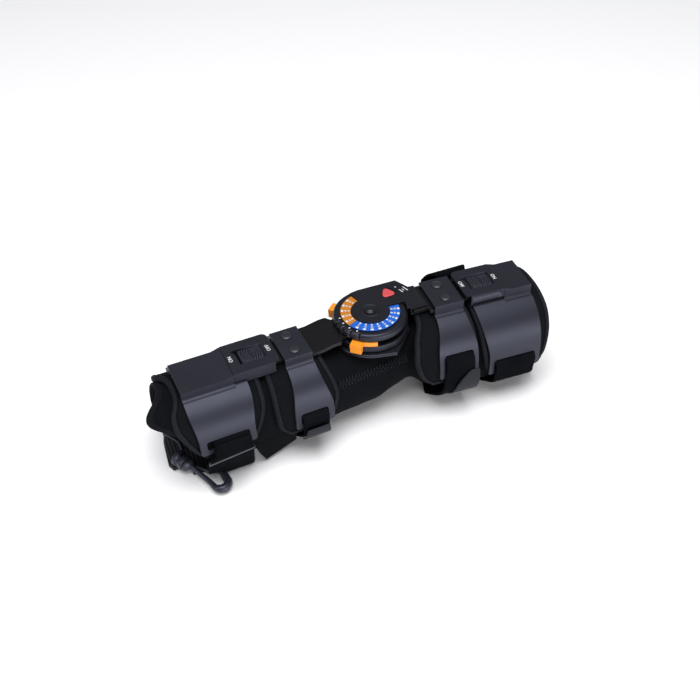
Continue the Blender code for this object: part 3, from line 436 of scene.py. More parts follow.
def pad_grid(name, side):
    """Outer and inner grids, the cells of the tape, and the line of its stitches."""
    table = PAD_EDGES[name]
    low = angle_at_height(side, PAD_OUT, table[0][0])
    reach = [math.pi / 2 + (low - math.pi / 2) * (step / PAD_ROWS) for step in range(PAD_ROWS + 1)]
    angles = [math.pi - angle for angle in reversed(reach[1:])] + reach
    face = [oval_on(side, PAD_OUT, angle) for angle in angles]
    girth = [0.0]
    for before, after in zip(face, face[1:]):
        girth.append(girth[-1] + math.dist(before, after))
    half = girth[-1] / 2
    lower = list(EDGE_STEPS)
    lower += [EDGE_WIDTH + (half - EDGE_WIDTH) * step / PAD_ROWS for step in range(1, PAD_ROWS + 1)]
    ways = lower + [girth[-1] - step for step in reversed(lower[:-1])]
    table_of_angles = list(zip(girth, angles))
    outer, inner = [], []
    for way in ways:
        angle = reading(table_of_angles, way)[0]
        near, far = eased(table, oval_on(side, PAD_OUT, angle)[1], PAD_EASE)
        places = [near + step for step in EDGE_STEPS]
        places += [near + EDGE_WIDTH + (far - near - 2 * EDGE_WIDTH) * step / 8 for step in range(1, 8)]
        places += [far - step for step in reversed(EDGE_STEPS)]
        outer_row, inner_row = [], []
        for place in places:
            depth = min(place - near, far - place, way, girth[-1] - way)
            waves = math.sin(place * SWELL_ALONG) * math.sin(way * SWELL_ROUND)
            swell = FOAM_SWELL * waves if depth > SWELL_FROM else 0.0
            under = GAP + min(UNDER_RISE, 0.6 * pad_sink(depth) if depth < UNDER_REACH else 0.0)
            for row, offset in ((outer_row, PAD_OUT - pad_sink(depth) - abs(swell)), (inner_row, under)):
                row.append((WAY[side] * place, *oval_on(side, offset, angle)))
        outer.append(outer_row)
        inner.append(inner_row)
    last, low_row, high_row = len(places) - 1, STITCH_STEP, len(ways) - 1 - STITCH_STEP
    near_column, far_column = STITCH_STEP, last - STITCH_STEP
    tape = {(row, column) for row in range(len(ways) - 1) for column in (*range(5), *range(last - 5, last))}
    for row in (*range(5), *range(len(ways) - 6, len(ways) - 1)):
        tape |= {(row, column) for column in range(last)}
    line = [outer[row][near_column] for row in range(low_row, high_row + 1)]
    line += [outer[high_row][column] for column in range(near_column + 1, far_column)]
    line += [outer[row][far_column] for row in range(high_row, low_row - 1, -1)]
    line += [outer[low_row][column] for column in range(far_column - 1, near_column - 1, -1)]
    middle = CORE[side][2]
    path = [(Vector(point), Vector((0.0, point[1], point[2] - middle)).normalized()) for point in line]
    return outer, inner, tape, path


for name, body in CUFF_BODY.items():
    side = name.split("_")[0]
    outer, inner, tape, path = pad_grid(name, side)
    pad_mesh, finishes = shell(outer, inner, trim=tape), [brushed_tricot, woven_tape]
    pad = put("foam_pad_" + name, pad_mesh, finishes, body, ["pad_" + name], ARM[side])
    stitch_row("pad_stitches_" + name, path, spun_thread, body, ARM[side])


# Cuffs
# Half shells that grip the arm, injection moulded in satin nylon, with a raised channel for the bar
# and a slot low on each side for the strap. Their corners and rims are rounded.

CUFF_WALL = 0.0026
CUFF_OUT = PAD_OUT + GAP + CUFF_WALL
PLATE_TOP = {"left": 0.0930, "right": 0.1032}
PLATE_HALF = 0.0189
CHANNEL_WALL = 0.0024
FILLET, FOOT = 0.0036, 0.0014
HOUSING_RISE = 0.0026
HOUSING_WALL = 0.0022
NARROW_HALF = PLATE_HALF - HOUSING_WALL - GAP
NARROW_DROP = 0.0002
CORNER_RADIUS = 0.0026
CUFF_SIDE_STEPS = 14
# places of the cuff's columns along the arm at its top and low down, the rim's height, the slot's
# two heights and the columns that the slot spans
CUFFS = {
    "left_inner": {
        "top": (0.0628, 0.0680, 0.0830, 0.0883), "low": (0.0568, 0.0625, 0.0872, 0.0925),
        "height": 0.0370, "slot": (0.0415, 0.0530), "slot_columns": (1, 2),
    },
    "left_outer": {
        "top": (0.1232, 0.1290, 0.1335, 0.1336, 0.1411, 0.1715, 0.1790),
        "low": (0.1277, 0.1330, 0.1353, 0.1354, 0.1420, 0.1705, 0.1763),
        "height": 0.0445, "slot": (0.0490, 0.0575), "slot_columns": (1, 5),
    },
    "right_inner": {
        "top": (0.0535, 0.0590, 0.0760, 0.0812), "low": (0.0475, 0.0525, 0.0800, 0.0848),
        "height": 0.0450, "slot": (0.0500, 0.0690), "slot_columns": (1, 2),
    },
    "right_outer": {
        "top": (0.0903, 0.0960, 0.1209, 0.1210, 0.1284, 0.1410, 0.1472),
        "low": (0.0960, 0.1010, 0.1219, 0.1220, 0.1290, 0.1410, 0.1463),
        "height": 0.0345, "slot": (0.0390, 0.0515), "slot_columns": (1, 5),
    },
}


def moulded(name, dark, light, roughness, grain, depth, **sockets):
    """Moulded plastic: a fine eroded grain, and a faint change of shade and gloss over the piece."""
    finish, tree, shader = new_finish(name, dark, roughness, **sockets)
    where = {"Vector": (add(tree, "TexCoord"), "Object")}
    grains = add(tree, "TexNoise", {"Scale": 1 / grain, "Detail": 4.0}, where)
    cloudy = add(tree, "TexNoise", {"Scale": 30.0, "Detail": 3.0}, where)
    mixed = add(tree, "Mix", {6: linear(dark), 7: linear(light)}, {0: (cloudy, "Fac")}, data_type="RGBA")
    tree.links.new(mixed.outputs[2], shader.inputs["Base Color"])
    limits = {"To Min": roughness - 0.05, "To Max": roughness + 0.07}
    gloss = add(tree, "MapRange", limits, {"Value": (cloudy, "Fac")})
    tree.links.new(gloss.outputs["Result"], shader.inputs["Roughness"])
    bump = add(tree, "Bump", {"Strength": 0.6, "Distance": depth}, {"Height": (grains, "Fac")})
    tree.links.new(bump.outputs["Normal"], shader.inputs["Normal"])
    return finish


NYLON_GLEAM = linear("#D9DDFA")
# nylon 66, moulded against an eroded steel face: satin, blue-black, with a broad soft bluish gleam
# the grain is 0.3 mm, drawn at 0.8 mm
satin_nylon = moulded(
    "satin_nylon", "#101116", "#16171D", 0.45, 0.0008, 0.00003, ior=1.56, specular_tint=NYLON_GLEAM,
)


def smooth(part):
    """A share from 0 to 1 that starts and ends gently."""
    return part * part * (3 - 2 * part)


def cuff_half(side, half, top, low_rows):
    """Points from the middle of the channel down one side, as (outer, inner) pairs."""
    half_width, half_height, middle = CORE[side]

    def height_at(offset, across):
        part = 1 - (across / (half_width + offset)) ** OVAL_POWER
        return middle + (half_height + offset) * part ** (1 / OVAL_POWER)

    under = CUFF_OUT - CUFF_WALL
    shoulder, inside = half + FILLET, half - CHANNEL_WALL
    ledge = height_at(CUFF_OUT, shoulder)
    turn_in = height_at(under, inside) + 0.0006
    points = [((0.0, top), (0.0, top - CHANNEL_WALL)), ((half, top), (inside, top - CHANNEL_WALL))]
    for step in range(5):
        part = step / 4
        angle = math.pi + math.pi / 2 * part
        points.append((
            (shoulder + FILLET * math.cos(angle), ledge + 0.0016 + 0.0016 * math.sin(angle)),
            (inside + FOOT * part, turn_in + (height_at(under, inside + FOOT) - turn_in) * part),
        ))
    start = math.acos(((shoulder + 0.0004) / (half_width + CUFF_OUT)) ** (OVAL_POWER / 2))
    end = angle_at_height(side, CUFF_OUT, low_rows[0])
    angles = [start + (end - start) * step / CUFF_SIDE_STEPS for step in range(CUFF_SIDE_STEPS + 1)]
    angles += [angle_at_height(side, CUFF_OUT, height) for height in low_rows[1:]]
    return points + [(oval_on(side, CUFF_OUT, angle), oval_on(side, under, angle)) for angle in angles]


def mirrored(half):
    """Rows from the front edge over the top to the back edge, from the back half."""
    return [tuple((-across, up) for across, up in pair) for pair in reversed(half[1:])] + half


def round_corners(work):
    """Rounds the corners of the rim and of the slots, as seen square on to the wall."""
    work.verts.ensure_lookup_table()
    half = len(work.verts) // 2
    edges = [work.edges.get((work.verts[index], work.verts[index + half])) for index in range(half)]
    corners = [
        edge for edge in edges
        if edge and len(edge.link_faces) == 2 and edge.calc_face_angle(0.0) > math.radians(55)
    ]
    bmesh.ops.bevel(
        work, geom=corners, offset=CORNER_RADIUS, segments=5, profile=0.5, affect="EDGES", clamp_overlap=True,
    )


def soften(piece, width, segments=3, angle=38, keep_sharp=True):
    """Rounds a hard piece's edges by a small radius and keeps its flats flat."""
    bevel = piece.modifiers.new("soft_edges", "BEVEL")
    bevel.width, bevel.segments = width, segments
    bevel.limit_method, bevel.angle_limit = "ANGLE", math.radians(angle)
    piece.modifiers.new("flat_faces", "WEIGHTED_NORMAL").keep_sharp = keep_sharp
    return piece


def cuff_mesh(name, side):
    """A cuff's wall with its channel and slots; the outer cuffs step down under the housing."""
    data = CUFFS[name]
    slot_low, slot_top = data["slot"]
    low_rows = (slot_top, (slot_top + slot_low) / 2, slot_low, data["height"])
    plain = (PLATE_HALF, PLATE_TOP[side])
    shapes = [plain] * 4
    if len(data["top"]) > 4:
        under = (NARROW_HALF, PLATE_TOP[side] - NARROW_DROP)
        raised = (PLATE_HALF, PLATE_TOP[side] + HOUSING_RISE - GAP)
        shapes = [under] * 3 + [raised] + [plain] * 3
    rows = list(zip(*(mirrored(cuff_half(side, half, top, low_rows)) for half, top in shapes)))
    ledge = PLATE_TOP[side] - 0.008
    outer, inner = [], []
    for row in rows:
        part = smooth(min(1.0, max(0.0, (ledge - row[0][0][1]) / (ledge - slot_top))))
        places = [WAY[side] * (a + (b - a) * part) for a, b in zip(data["top"], data["low"])]
        outer.append([(x, *pair[0]) for x, pair in zip(places, row)])
        inner.append([(x, *pair[1]) for x, pair in zip(places, row)])
    last = len(rows) - 2
    holes = [(row, column) for row in (1, 2, last - 2, last - 1) for column in range(*data["slot_columns"])]
    return reworked(shell(outer, inner, holes), round_corners)


for name in CUFFS:
    side, body = name.split("_")[0], CUFF_BODY[name]
    mesh, node = cuff_mesh(name, side), "cuff_" + name
    cuff = put("cuff_shell_" + name, mesh, [satin_nylon], body, [node], ARM[side])
    soften(cuff, 0.0009)


# Rivets of the inner cuffs
# Two domed steel heads on each inner cuff's plate, set by a press, holding the bar in its channel.
# Each sits on a thin washer.

RIVET_RADIUS, RIVET_RISE = 0.0050, 0.0011
RIVET_ACROSS = {"back": 0.0098, "front": -0.0090}


def turned(profile, sides):
    """A closed mesh turned about Z from (radius, height) points, first and last on the axis."""
    points = [(0.0, 0.0, profile[0][1]), (0.0, 0.0, profile[-1][1])]
    body = profile[1:-1]
    for radius, height in body:
        for side in range(sides):
            angle = 2 * math.pi * side / sides
            points.append((radius * math.cos(angle), radius * math.sin(angle), height))
    faces = []
    last = 2 + (len(body) - 1) * sides
    for side in range(sides):
        after = (side + 1) % sides
        faces += [(0, 2 + after, 2 + side), (1, last + side, last + after)]
        for ring in range(len(body) - 1):
            low = 2 + ring * sides
            faces.append((low + side, low + after, low + sides + after, low + sides + side))
    return built("turned", points, faces)


def dome(low, radius, height, steps=7):
    """The profile of a low domed head on a washer."""
    profile = [(0.0, low), (radius, low), (radius, low + 0.0003), (radius * 0.86, low + 0.0004)]
    for step in range(1, steps):
        angle = math.pi / 2 * step / steps
        profile.append((radius * 0.82 * math.cos(angle), low + 0.0004 + (height - 0.0004) * math.sin(angle)))
    return profile + [(0.0, low + height)]


# blackened steel, cold headed: dark metal with a tight glint on the dome
blackened_steel = moulded("blackened_steel", "#303239", "#3E4048", 0.36, 0.0006, 0.00002, metallic=0.6)
for side in WAY:
    middle = WAY[side] * sum(CUFFS[side + "_inner"]["top"][::3]) / 2
    for label, across in RIVET_ACROSS.items():
        head, end = turned(dome(PLATE_TOP[side] + GAP, RIVET_RADIUS, RIVET_RISE), 40), side + "_" + label
        head.transform(Matrix.Translation((middle, across, 0.0)))
        put("rivet_head_" + end, head, [blackened_steel], "brace", ["rivet_" + end], ARM[side])


# Slider housings
# A moulded cap over the end of each bar, with a window for the length lock and rounded corners.
# The words for the lock's two ends are pad printed in white.

# along the arm: the cap's end at the hinge, its seam on the cuff, the window and the lock in it
HOUSINGS = {
    "left": {"near": 0.0918, "seam": 0.1333, "window": 0.1005, "button": 0.1012},
    "right": {"near": 0.0835, "seam": 0.1207, "window": 0.0890, "button": 0.0942},
}
WINDOW_LENGTH = 0.0260
WINDOW_HALF = 0.0093
OVER_BAR, OVER_CUFF = 0.0090, 0.0062
CORNER = 0.0048
LETTER_HEIGHT, LETTER_SIZE, INK_THICK = 0.0033, 1.38, 0.00012
WORD_LIFT = 0.00008

# ABS, moulded with a fine texture: darker and duller than the cuffs
textured_abs = moulded(
    "textured_abs", "#0E0F14", "#14151B", 0.44, 0.0009, 0.00004, ior=1.55, specular_tint=NYLON_GLEAM,
)
# pad-printing ink on plastic: flat white, a little worn at its edges
printed_ink = moulded("printed_ink", "#C9CACD", "#E6E6E8", 0.55, 0.0004, 0.00001)


def lettering(words):
    """One mesh of printed words, each given as (text, letter height, matrix)."""
    work = bmesh.new()
    for text, height, matrix in words:
        curve = bpy.data.curves.new("word", "FONT")
        curve.body = text
        curve.size = height * LETTER_SIZE
        curve.align_x = curve.align_y = "CENTER"
        curve.extrude = INK_THICK / 2
        curve.offset = height * 0.02
        holder = placed("word", curve)
        mesh = bpy.data.meshes.new_from_object(holder.evaluated_get(bpy.context.evaluated_depsgraph_get()))
        mesh.transform(matrix)
        work.from_mesh(mesh)
        bpy.data.objects.remove(holder)
        bpy.data.meshes.remove(mesh)
        bpy.data.curves.remove(curve)
    bmesh.ops.remove_doubles(work, verts=work.verts, dist=1e-7)
    made = bpy.data.meshes.new("lettering")
    work.to_mesh(made)
    work.free()
    return made


def housing_mesh(side):
    """The cap: a lid with turned-down sides, rounded corners at the hinge end and the window."""
    data = HOUSINGS[side]
    top = PLATE_TOP[side] + HOUSING_RISE
    cuff_edge = CUFFS[side + "_outer"]["top"][0] - 0.0006
    window_end = data["window"] + WINDOW_LENGTH
    places = sorted([data["near"], data["window"], window_end, cuff_edge, cuff_edge + GAP, data["seam"]])
    inside = PLATE_HALF - HOUSING_WALL
    arc = [PLATE_HALF - CORNER + CORNER * math.sin(math.pi / 2 * step / 6) for step in range(7)]
    half = [(across, False) for across in (WINDOW_HALF, *arc)] + [(PLATE_HALF, True)]
    outer, inner = [], []
    for across, edge in [(-across, low) for across, low in reversed(half)] + half:
        outer_row, inner_row = [], []
        within = max(-inside, min(inside, across))
        past = max(0.0, abs(across) - PLATE_HALF + CORNER)
        cut = CORNER - math.sqrt(max(0.0, CORNER ** 2 - past ** 2))
        for place in places:
            low = PLATE_TOP[side] - (OVER_BAR if place <= cuff_edge else OVER_CUFF)
            at = WAY[side] * (place + cut if place == data["near"] else place)
            outer_row.append((at, across, low if edge else top))
            inner_row.append((at, within, low if edge else top - HOUSING_WALL))
        outer.append(outer_row)
        inner.append(inner_row)
    holes = [(len(half) - 1, column) for column in range(5) if data["window"] <= places[column] < window_end]
    return shell(outer, inner, holes)


for side in WAY:
    data, body, slot = HOUSINGS[side], side + "_outer", "housing_plastic"
    mesh, node = housing_mesh(side), "slider_housing_" + side
    soften(put("housing_cap_" + side, mesh, [textured_abs], body, [node], ARM[side]), 0.0007)
    height = PLATE_TOP[side] + HOUSING_RISE + WORD_LIFT
    turn = Matrix.Rotation(-WAY[side] * math.pi / 2, 4, "Z")
    ends = {"ON": data["window"] + WINDOW_LENGTH + 0.0032, "OFF": (data["near"] + data["window"]) / 2}
    words = [
        (text, LETTER_HEIGHT, Matrix.Translation((WAY[side] * place, 0.0, height)) @ turn)
        for text, place in ends.items()
    ]
    put("lock_words_" + side, lettering(words), [printed_ink], body, (), ARM[side])


# Length-lock buttons
# A thumb plate in each housing's window, moulded in the same ABS, with bowed grip ribs at its ends.

BUTTON_LENGTH = 0.0206
BUTTON_DROP = 0.0012
BUTTON_COLUMNS, BUTTON_ROWS = 120, 24
RIB_PLACES = (0.0028, 0.0049, 0.0070, 0.0091)
RIB_HALF, RIB_RISE, RIB_BOW, RIB_SPAN = 0.00068, 0.0011, 0.0026, 0.78
# rib height above which the rib top takes the lighter finish, a painted highlight
HIGHLIGHT_FROM = 0.0005


def button_mesh(side):
    """A rounded plate with four bowed ribs towards each end."""
    half = WINDOW_HALF - GAP
    top = PLATE_TOP[side] + HOUSING_RISE
    outer, inner, rib_top_cells = [], [], []
    for row in range(BUTTON_ROWS + 1):
        across = -half + 2 * half * row / BUTTON_ROWS
        outer_row, inner_row = [], []
        for column in range(BUTTON_COLUMNS + 1):
            place = BUTTON_LENGTH * column / BUTTON_COLUMNS
            reach = abs(place - BUTTON_LENGTH / 2) + RIB_BOW * (across / half) ** 2
            rise = 0.0
            if abs(across) < half * RIB_SPAN:
                rise = max(0.0, *(RIB_RISE * (1 - ((reach - rib) / RIB_HALF) ** 2) for rib in RIB_PLACES))
            # cells high on a rib take the lighter finish: a painted highlight on the rib tops
            if rise > HIGHLIGHT_FROM and row < BUTTON_ROWS and column < BUTTON_COLUMNS:
                rib_top_cells.append((row, column))
            outer_row.append((WAY[side] * place, across, top - BUTTON_DROP + rise))
            inner_row.append((WAY[side] * place, across, top - HOUSING_WALL))
        outer.append(outer_row)
        inner.append(inner_row)
    mesh = shell(outer, inner, trim=rib_top_cells)
    mesh.transform(Matrix.Translation((WAY[side] * HOUSINGS[side]["button"], 0.0, 0.0)))
    return mesh


# the same ABS on top of the ribs: lighter as a painted highlight where the rib tops catch the light, and
# glossier
painted_highlight_abs = moulded("painted_highlight_abs", "#2C2D36", "#3A3B45", 0.34, 0.0009, 0.00001)
for side in WAY:
    mesh, finishes, node = button_mesh(side), [textured_abs, painted_highlight_abs], "slider_button_" + side
    put("thumb_plate_" + side, mesh, finishes, "slider_" + side, [node], ARM[side])


# Bars
# Flat bars of anodised aluminium from the hinge through the inner cuffs into the slider housings.
# They are cut from strip, bent at the hinge and finished dark, with softened edges.

BAR_HALF, BAR_WIDE_HALF = 0.0130, 0.0180
BAR_THICK = 0.0030
BAR_DROP = 0.0033
BAR_ENDS = {"left": 0.1500, "right": 0.1330}
BAR_EDGE = {"left": 0.0008, "right": 0.0005}
BEND_FROM, BEND_LENGTH, BEND_STEPS = 0.0400, 0.0180, 8
GROOVE_TOP = 0.0928

# aluminium strip, brushed and anodised dark brown-grey: a soft streaked metal sheen along the bar
anodised_strip, tree, shader = new_finish("anodised_strip", "#1B191B", 0.30, metallic=0.6)
stretched = {"Scale": (40.0, 900.0, 900.0)}
stretch = add(tree, "Mapping", stretched, {"Vector": (add(tree, "TexCoord"), "Object")})
streaks = add(tree, "TexNoise", {"Scale": 1.0, "Detail": 4.0}, {"Vector": (stretch, "Vector")})
shades = {6: linear("#121113"), 7: linear("#262427")}
mixed = add(tree, "Mix", shades, {0: (streaks, "Fac")}, data_type="RGBA")
tree.links.new(mixed.outputs[2], shader.inputs["Base Color"])
bump = add(tree, "Bump", {"Strength": 0.3, "Distance": 0.00002}, {"Height": (streaks, "Fac")})
tree.links.new(bump.outputs["Normal"], shader.inputs["Normal"])


def strip_mesh(path):
    """A flat strip through (x, half width, top height) rows."""
    points = []
    for x, half, top in path:
        points += [(x, -half, top), (x, half, top), (x, half, top - BAR_THICK), (x, -half, top - BAR_THICK)]
    faces = [(0, 1, 2, 3), tuple(len(points) - 4 + i for i in (3, 2, 1, 0))]
    for row in range(len(path) - 1):
        for corner in range(4):
            a, b = row * 4 + corner, row * 4 + (corner + 1) % 4
            faces.append((a, a + 4, b + 4, b))
    return built("strip", points, faces, outward=True)


bar_pieces = {"left": ("forearm_strip", "forearm_bar"), "right": ("upper_arm_strip", "upper_arm_bar")}
for side, (name, node) in bar_pieces.items():
    channel = PLATE_TOP[side] - BAR_DROP
    mouth = CUFFS[side + "_inner"]["top"][0] - 0.0004
    path = [(0.0360, BAR_HALF, channel), (0.0493, BAR_HALF, channel), (0.0494, BAR_WIDE_HALF, channel)]
    if side == "left":
        flat = GROOVE_TOP - GAP
        path = [(0.0205, BAR_HALF, flat), (0.0320, BAR_HALF, flat), (0.0360, BAR_WIDE_HALF, flat)]
        for step in range(BEND_STEPS + 1):
            part = step / BEND_STEPS
            height = flat - (flat - channel) * smooth(part)
            path.append((BEND_FROM + BEND_LENGTH * part, BAR_WIDE_HALF, height))
    path += [(mouth, BAR_WIDE_HALF, channel), (mouth + 0.0001, BAR_HALF, channel)]
    path += [(BAR_ENDS[side], BAR_HALF, channel)]
    mesh = strip_mesh([(WAY[side] * x, half, top) for x, half, top in path])
    soften(put(name, mesh, [anodised_strip], "brace", [node], ARM[side]), BAR_EDGE[side])


# Hinge: base plate, lower disc and dial
# A stack of moulded nylon discs on the axle. The dial's thick rim has finger notches and index marks,
# and the groove under it holds the two stop levers.

HINGE_FLOOR = 0.0778
BASE_THICK = 0.0032
DISC_RADIUS = 0.0335
DISC_LOW = HINGE_FLOOR + BASE_THICK + GAP
DISC_TOP = 0.0880
HUB_RADIUS = 0.0190
DIAL_RADIUS = 0.0330
DIAL_TOP = 0.0996
RING_OUTER = 0.0262
NOTCHES, NOTCH_HALF, NOTCH_DEPTH = (183, 198, 213, 228), 3, 0.0017

# glass-filled nylon, moulded: nearly black, satin, with bright edges where the radii catch the light
filled_nylon = moulded(
    "filled_nylon", "#0B0B0E", "#121216", 0.40, 0.0008, 0.00003, ior=1.53, specular_tint=NYLON_GLEAM,
)


def dress(name, finish, width, segments=2):
    """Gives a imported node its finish, and rounds its edges."""
    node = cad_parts[name]
    node.data.materials.clear()
    node.data.materials.append(finish)
    node.modifiers.new("weld", "WELD").merge_threshold = 1e-6
    return soften(node, width, segments, 35, keep_sharp=False)


dress("hinge_base_plate", filled_nylon, 0.0006)

hub_top = GROOVE_TOP - GAP
profile = [(0.0, DISC_LOW), (DISC_RADIUS - 0.0008, DISC_LOW), (DISC_RADIUS, DISC_LOW + 0.0010)]
profile += [(DISC_RADIUS, DISC_TOP - 0.0014), (DISC_RADIUS - 0.0003, DISC_TOP - 0.0006)]
profile += [(DISC_RADIUS - 0.0012, DISC_TOP), (HUB_RADIUS, DISC_TOP), (HUB_RADIUS, hub_top), (0.0, hub_top)]
disc = put("stop_disc", turned(profile, 120), [filled_nylon], "brace", ["hinge_lower_disc"])
soften(disc, 0.0003, 2)


def notch(angle):
    """1 in the middle of a finger notch and 0 away from it."""
    nearest = min(abs((angle - heading + 180) % 360 - 180) for heading in NOTCHES)
    return max(0.0, math.cos(math.radians(nearest) * 90 / NOTCH_HALF)) if nearest < NOTCH_HALF else 0.0


# how far in from the rim and down from the dial's top the rim's rounded shoulder runs
shoulder = ((0.0001, 0.0030), (0.0005, 0.0017), (0.0013, 0.0007), (0.0022, 0.0001), (0.0032, 0.0))
sunk = DIAL_TOP - 0.0003
rim = [(0.0, GROOVE_TOP), (DIAL_RADIUS - 0.0010, GROOVE_TOP), (DIAL_RADIUS - 0.0002, GROOVE_TOP + 0.0008)]
rim += [(DIAL_RADIUS, GROOVE_TOP + 0.0022)]
rim += [(DIAL_RADIUS - inward, DIAL_TOP - down) for inward, down in shoulder]
rim += [(RING_OUTER + 0.0010, DIAL_TOP), (RING_OUTER + 0.0006, sunk), (RING_OUTER - 0.001, sunk), (0.0, sunk)]
dial_mesh = turned(rim, 240)
for vertex in dial_mesh.vertices:
    radius = math.hypot(vertex.co.x, vertex.co.y)
    if radius > DIAL_RADIUS - 0.0035 and vertex.co.z > GROOVE_TOP + 0.0015:
        cut = notch(math.degrees(math.atan2(vertex.co.y, vertex.co.x)) % 360)
        shrink = 1 - NOTCH_DEPTH * cut / radius
        vertex.co.x *= shrink
        vertex.co.y *= shrink
soften(put("dial_rim", dial_mesh, [filled_nylon], "brace", ["dial"]), 0.0002, 2, 50)


# Scale on the dial
# Two coloured sectors printed on a thin laid-in ring, orange for one range and blue for the other,
# with white ticks and degree numbers, and white index marks on the rim.

RING_TOP = DIAL_TOP + GAP + 0.0008
# where each sector starts and ends in degrees round the dial, and the numbers printed on it
SECTORS = ((107.0, 203.5, range(50, 0, -10)), (204.5, 356.6, range(0, 90, 10)))
FIRST_IN, LAST_IN = 15.0, 12.0
NUMBER_RADIUS, NUMBER_HEIGHT, MARK_RADIUS = 0.0217, 0.0018, 0.0278
# radius, length and width of the outer and inner ticks
TICKS = ((0.0246, 0.0021, 0.0026), (0.0187, 0.0021, 0.0013))
TICK_THICK, MARK_LIFT = 0.00014, 0.00006
INDEX_MARKS = (175, 190, 207, 223)

# screen-printed polycarbonate, orange and blue: flat even colour under a light gloss
printed_orange = moulded("printed_orange", "#B46C14", "#C27C20", 0.36, 0.0005, 0.00001)
printed_blue = moulded("printed_blue", "#1456B6", "#1B63C6", 0.34, 0.0005, 0.00001)
dress("ring_orange", printed_orange, 0.0002)
dress("ring_blue", printed_blue, 0.0002)


def heading_way(heading):
    """The flat way that a heading in degrees points."""
    return Vector((math.cos(math.radians(heading)), math.sin(math.radians(heading)), 0.0))


def tick_mesh(ticks):
    """Flat marks, each given as (middle x, middle y, height, heading in degrees, length, width)."""
    points, faces = [], []
    for x, y, z, heading, length, width in ticks:
        way = heading_way(heading)
        across = Vector((-way.y, way.x, 0.0))
        first = len(points)
        for lift in (-TICK_THICK / 2, TICK_THICK / 2):
            for along, over in ((-1, -1), (1, -1), (1, 1), (-1, 1)):
                points.append(Vector((x, y, z + lift)) + way * along * length / 2 + across * over * width / 2)
        for face in ((3, 2, 1, 0), (4, 5, 6, 7), (0, 1, 5, 4), (1, 2, 6, 5), (2, 3, 7, 6), (3, 0, 4, 7)):
            faces.append(tuple(first + corner for corner in face))
    return built("ticks", points, faces)


ticks, numbers = [], []
for start, end, values in SECTORS:
    for place, value in enumerate(values):
        heading = start + FIRST_IN + (end - start - FIRST_IN - LAST_IN) * place / (len(values) - 1)
        way = heading_way(heading)
        matrix = Matrix.Translation((way.x * NUMBER_RADIUS, way.y * NUMBER_RADIUS, RING_TOP + WORD_LIFT))
        turn = Matrix.Rotation(math.radians(heading + 90), 4, "Z")
        numbers.append((str(value), NUMBER_HEIGHT, matrix @ turn))
        for reach, length, width in TICKS:
            ticks.append((way.x * reach, way.y * reach, RING_TOP + MARK_LIFT, heading, length, width))
for heading in INDEX_MARKS:
    x, y = heading_way(heading).xy * MARK_RADIUS
    ticks.append((x, y, DIAL_TOP + MARK_LIFT, heading, 0.0018, 0.0011))
put("scale_numbers", lettering(numbers), [printed_ink], "brace")
put("scale_ticks", tick_mesh(ticks), [printed_ink], "brace")


# Hinge cover, lock button and axle rivet
# The moulded cover keeps the scale in place and holds the upper-arm bar. A red rounded triangle
# locks the stops, and a domed steel rivet closes the axle in a shallow ring.

COVER_TOP = 0.1016
AXLE_RADIUS, AXLE_RISE = 0.0053, 0.0020
# x, y, heading in degrees, length and width of the marks beside the red button
MARKS = (
    (0.0333, 0.0206, 0.0, 0.0012, 0.0012), (0.0357, 0.0138, -67.0, 0.0052, 0.0008),
    (0.0406, 0.0153, -69.0, 0.0070, 0.0009), (0.0381, 0.0146, -68.0, 0.0030, 0.0007),
)
# radius and height over the cover's top of the ring round the axle
SEAT = (
    (0.0, -0.0006), (0.0088, -0.0006), (0.0088, 0.0001), (0.0084, 0.0003), (0.0078, 0.0003),
    (0.0074, 0.0001), (0.0, 0.0001),
)

dress("hinge_cover", filled_nylon, 0.0006, 3)
# acetal, moulded to a polished face: bright red with a clean highlight
polished_red = moulded("polished_red", "#C2444A", "#CE5357", 0.28, 0.0006, 0.00001, ior=1.48)
dress("lock_button", polished_red, 0.0005, 3)
rows = [(x, y, COVER_TOP + MARK_LIFT, heading, length, width) for x, y, heading, length, width in MARKS]
put("lock_marks", tick_mesh(rows), [printed_ink], "brace")
# steel, blackened in an oil bath: darker than the cuffs' rivets
black_oxide = moulded("black_oxide", "#141518", "#1C1D21", 0.34, 0.0006, 0.00002, metallic=0.3)
head = turned(dome(COVER_TOP + GAP, AXLE_RADIUS, AXLE_RISE, 9), 48)
put("axle_rivet", head, [black_oxide], "brace", ["hinge_rivet"])
seat = turned([(radius, COVER_TOP + rise) for radius, rise in SEAT], 72)
put("axle_ring", seat, [filled_nylon], "brace")


# Stop levers
# Two orange acetal levers in the groove under the dial, one for each end of the range.
# Each has a thumb tab that hangs outside the rim.

# acetal, moulded: bright orange, smooth, a little waxy
orange_acetal = moulded("orange_acetal", "#E88918", "#F29C2C", 0.36, 0.0008, 0.00002, ior=1.48)
for name in ("stop_lever_flexion", "stop_lever_extension"):
    dress(name, orange_acetal, 0.0007, 3)


# Straps
# Hook-and-loop straps of nylon loop pile on foam, 1.8 mm thick and 2.8 mm with the brushed-up pile.
# Each runs from its cuff's slot down and under the arm to the other slot.

LIFT = 0.0009
PILE_THICK, PILE_SOFT = 0.0028, 0.0014
FAN_REACH = 0.020
# where the strap's two edges lie along the arm, and its way down as (across, height) points
STRAPS = {
    "left_outer": (
        (0.1335, 0.1648),
        ((0.0478, 0.0330), (0.0428, 0.0215), (0.0388, 0.0110), (0.0345, 0.0034), (0.0250, LIFT)),
    ),
    "left_inner": (
        (0.0630, 0.0868),
        ((0.0486, 0.0300), (0.0415, 0.0215), (0.0315, 0.0125), (0.0220, 0.0050), (0.0140, LIFT)),
    ),
    "right_inner": (
        (0.0528, 0.0795),
        ((0.0512, 0.0320), (0.0440, 0.0215), (0.0345, 0.0130), (0.0250, 0.0060), (0.0150, LIFT)),
    ),
    "right_outer": (
        (0.1014, 0.1405),
        ((0.0505, 0.0275), (0.0445, 0.0205), (0.0355, 0.0135), (0.0260, 0.0062), (0.0150, LIFT)),
    ),
}
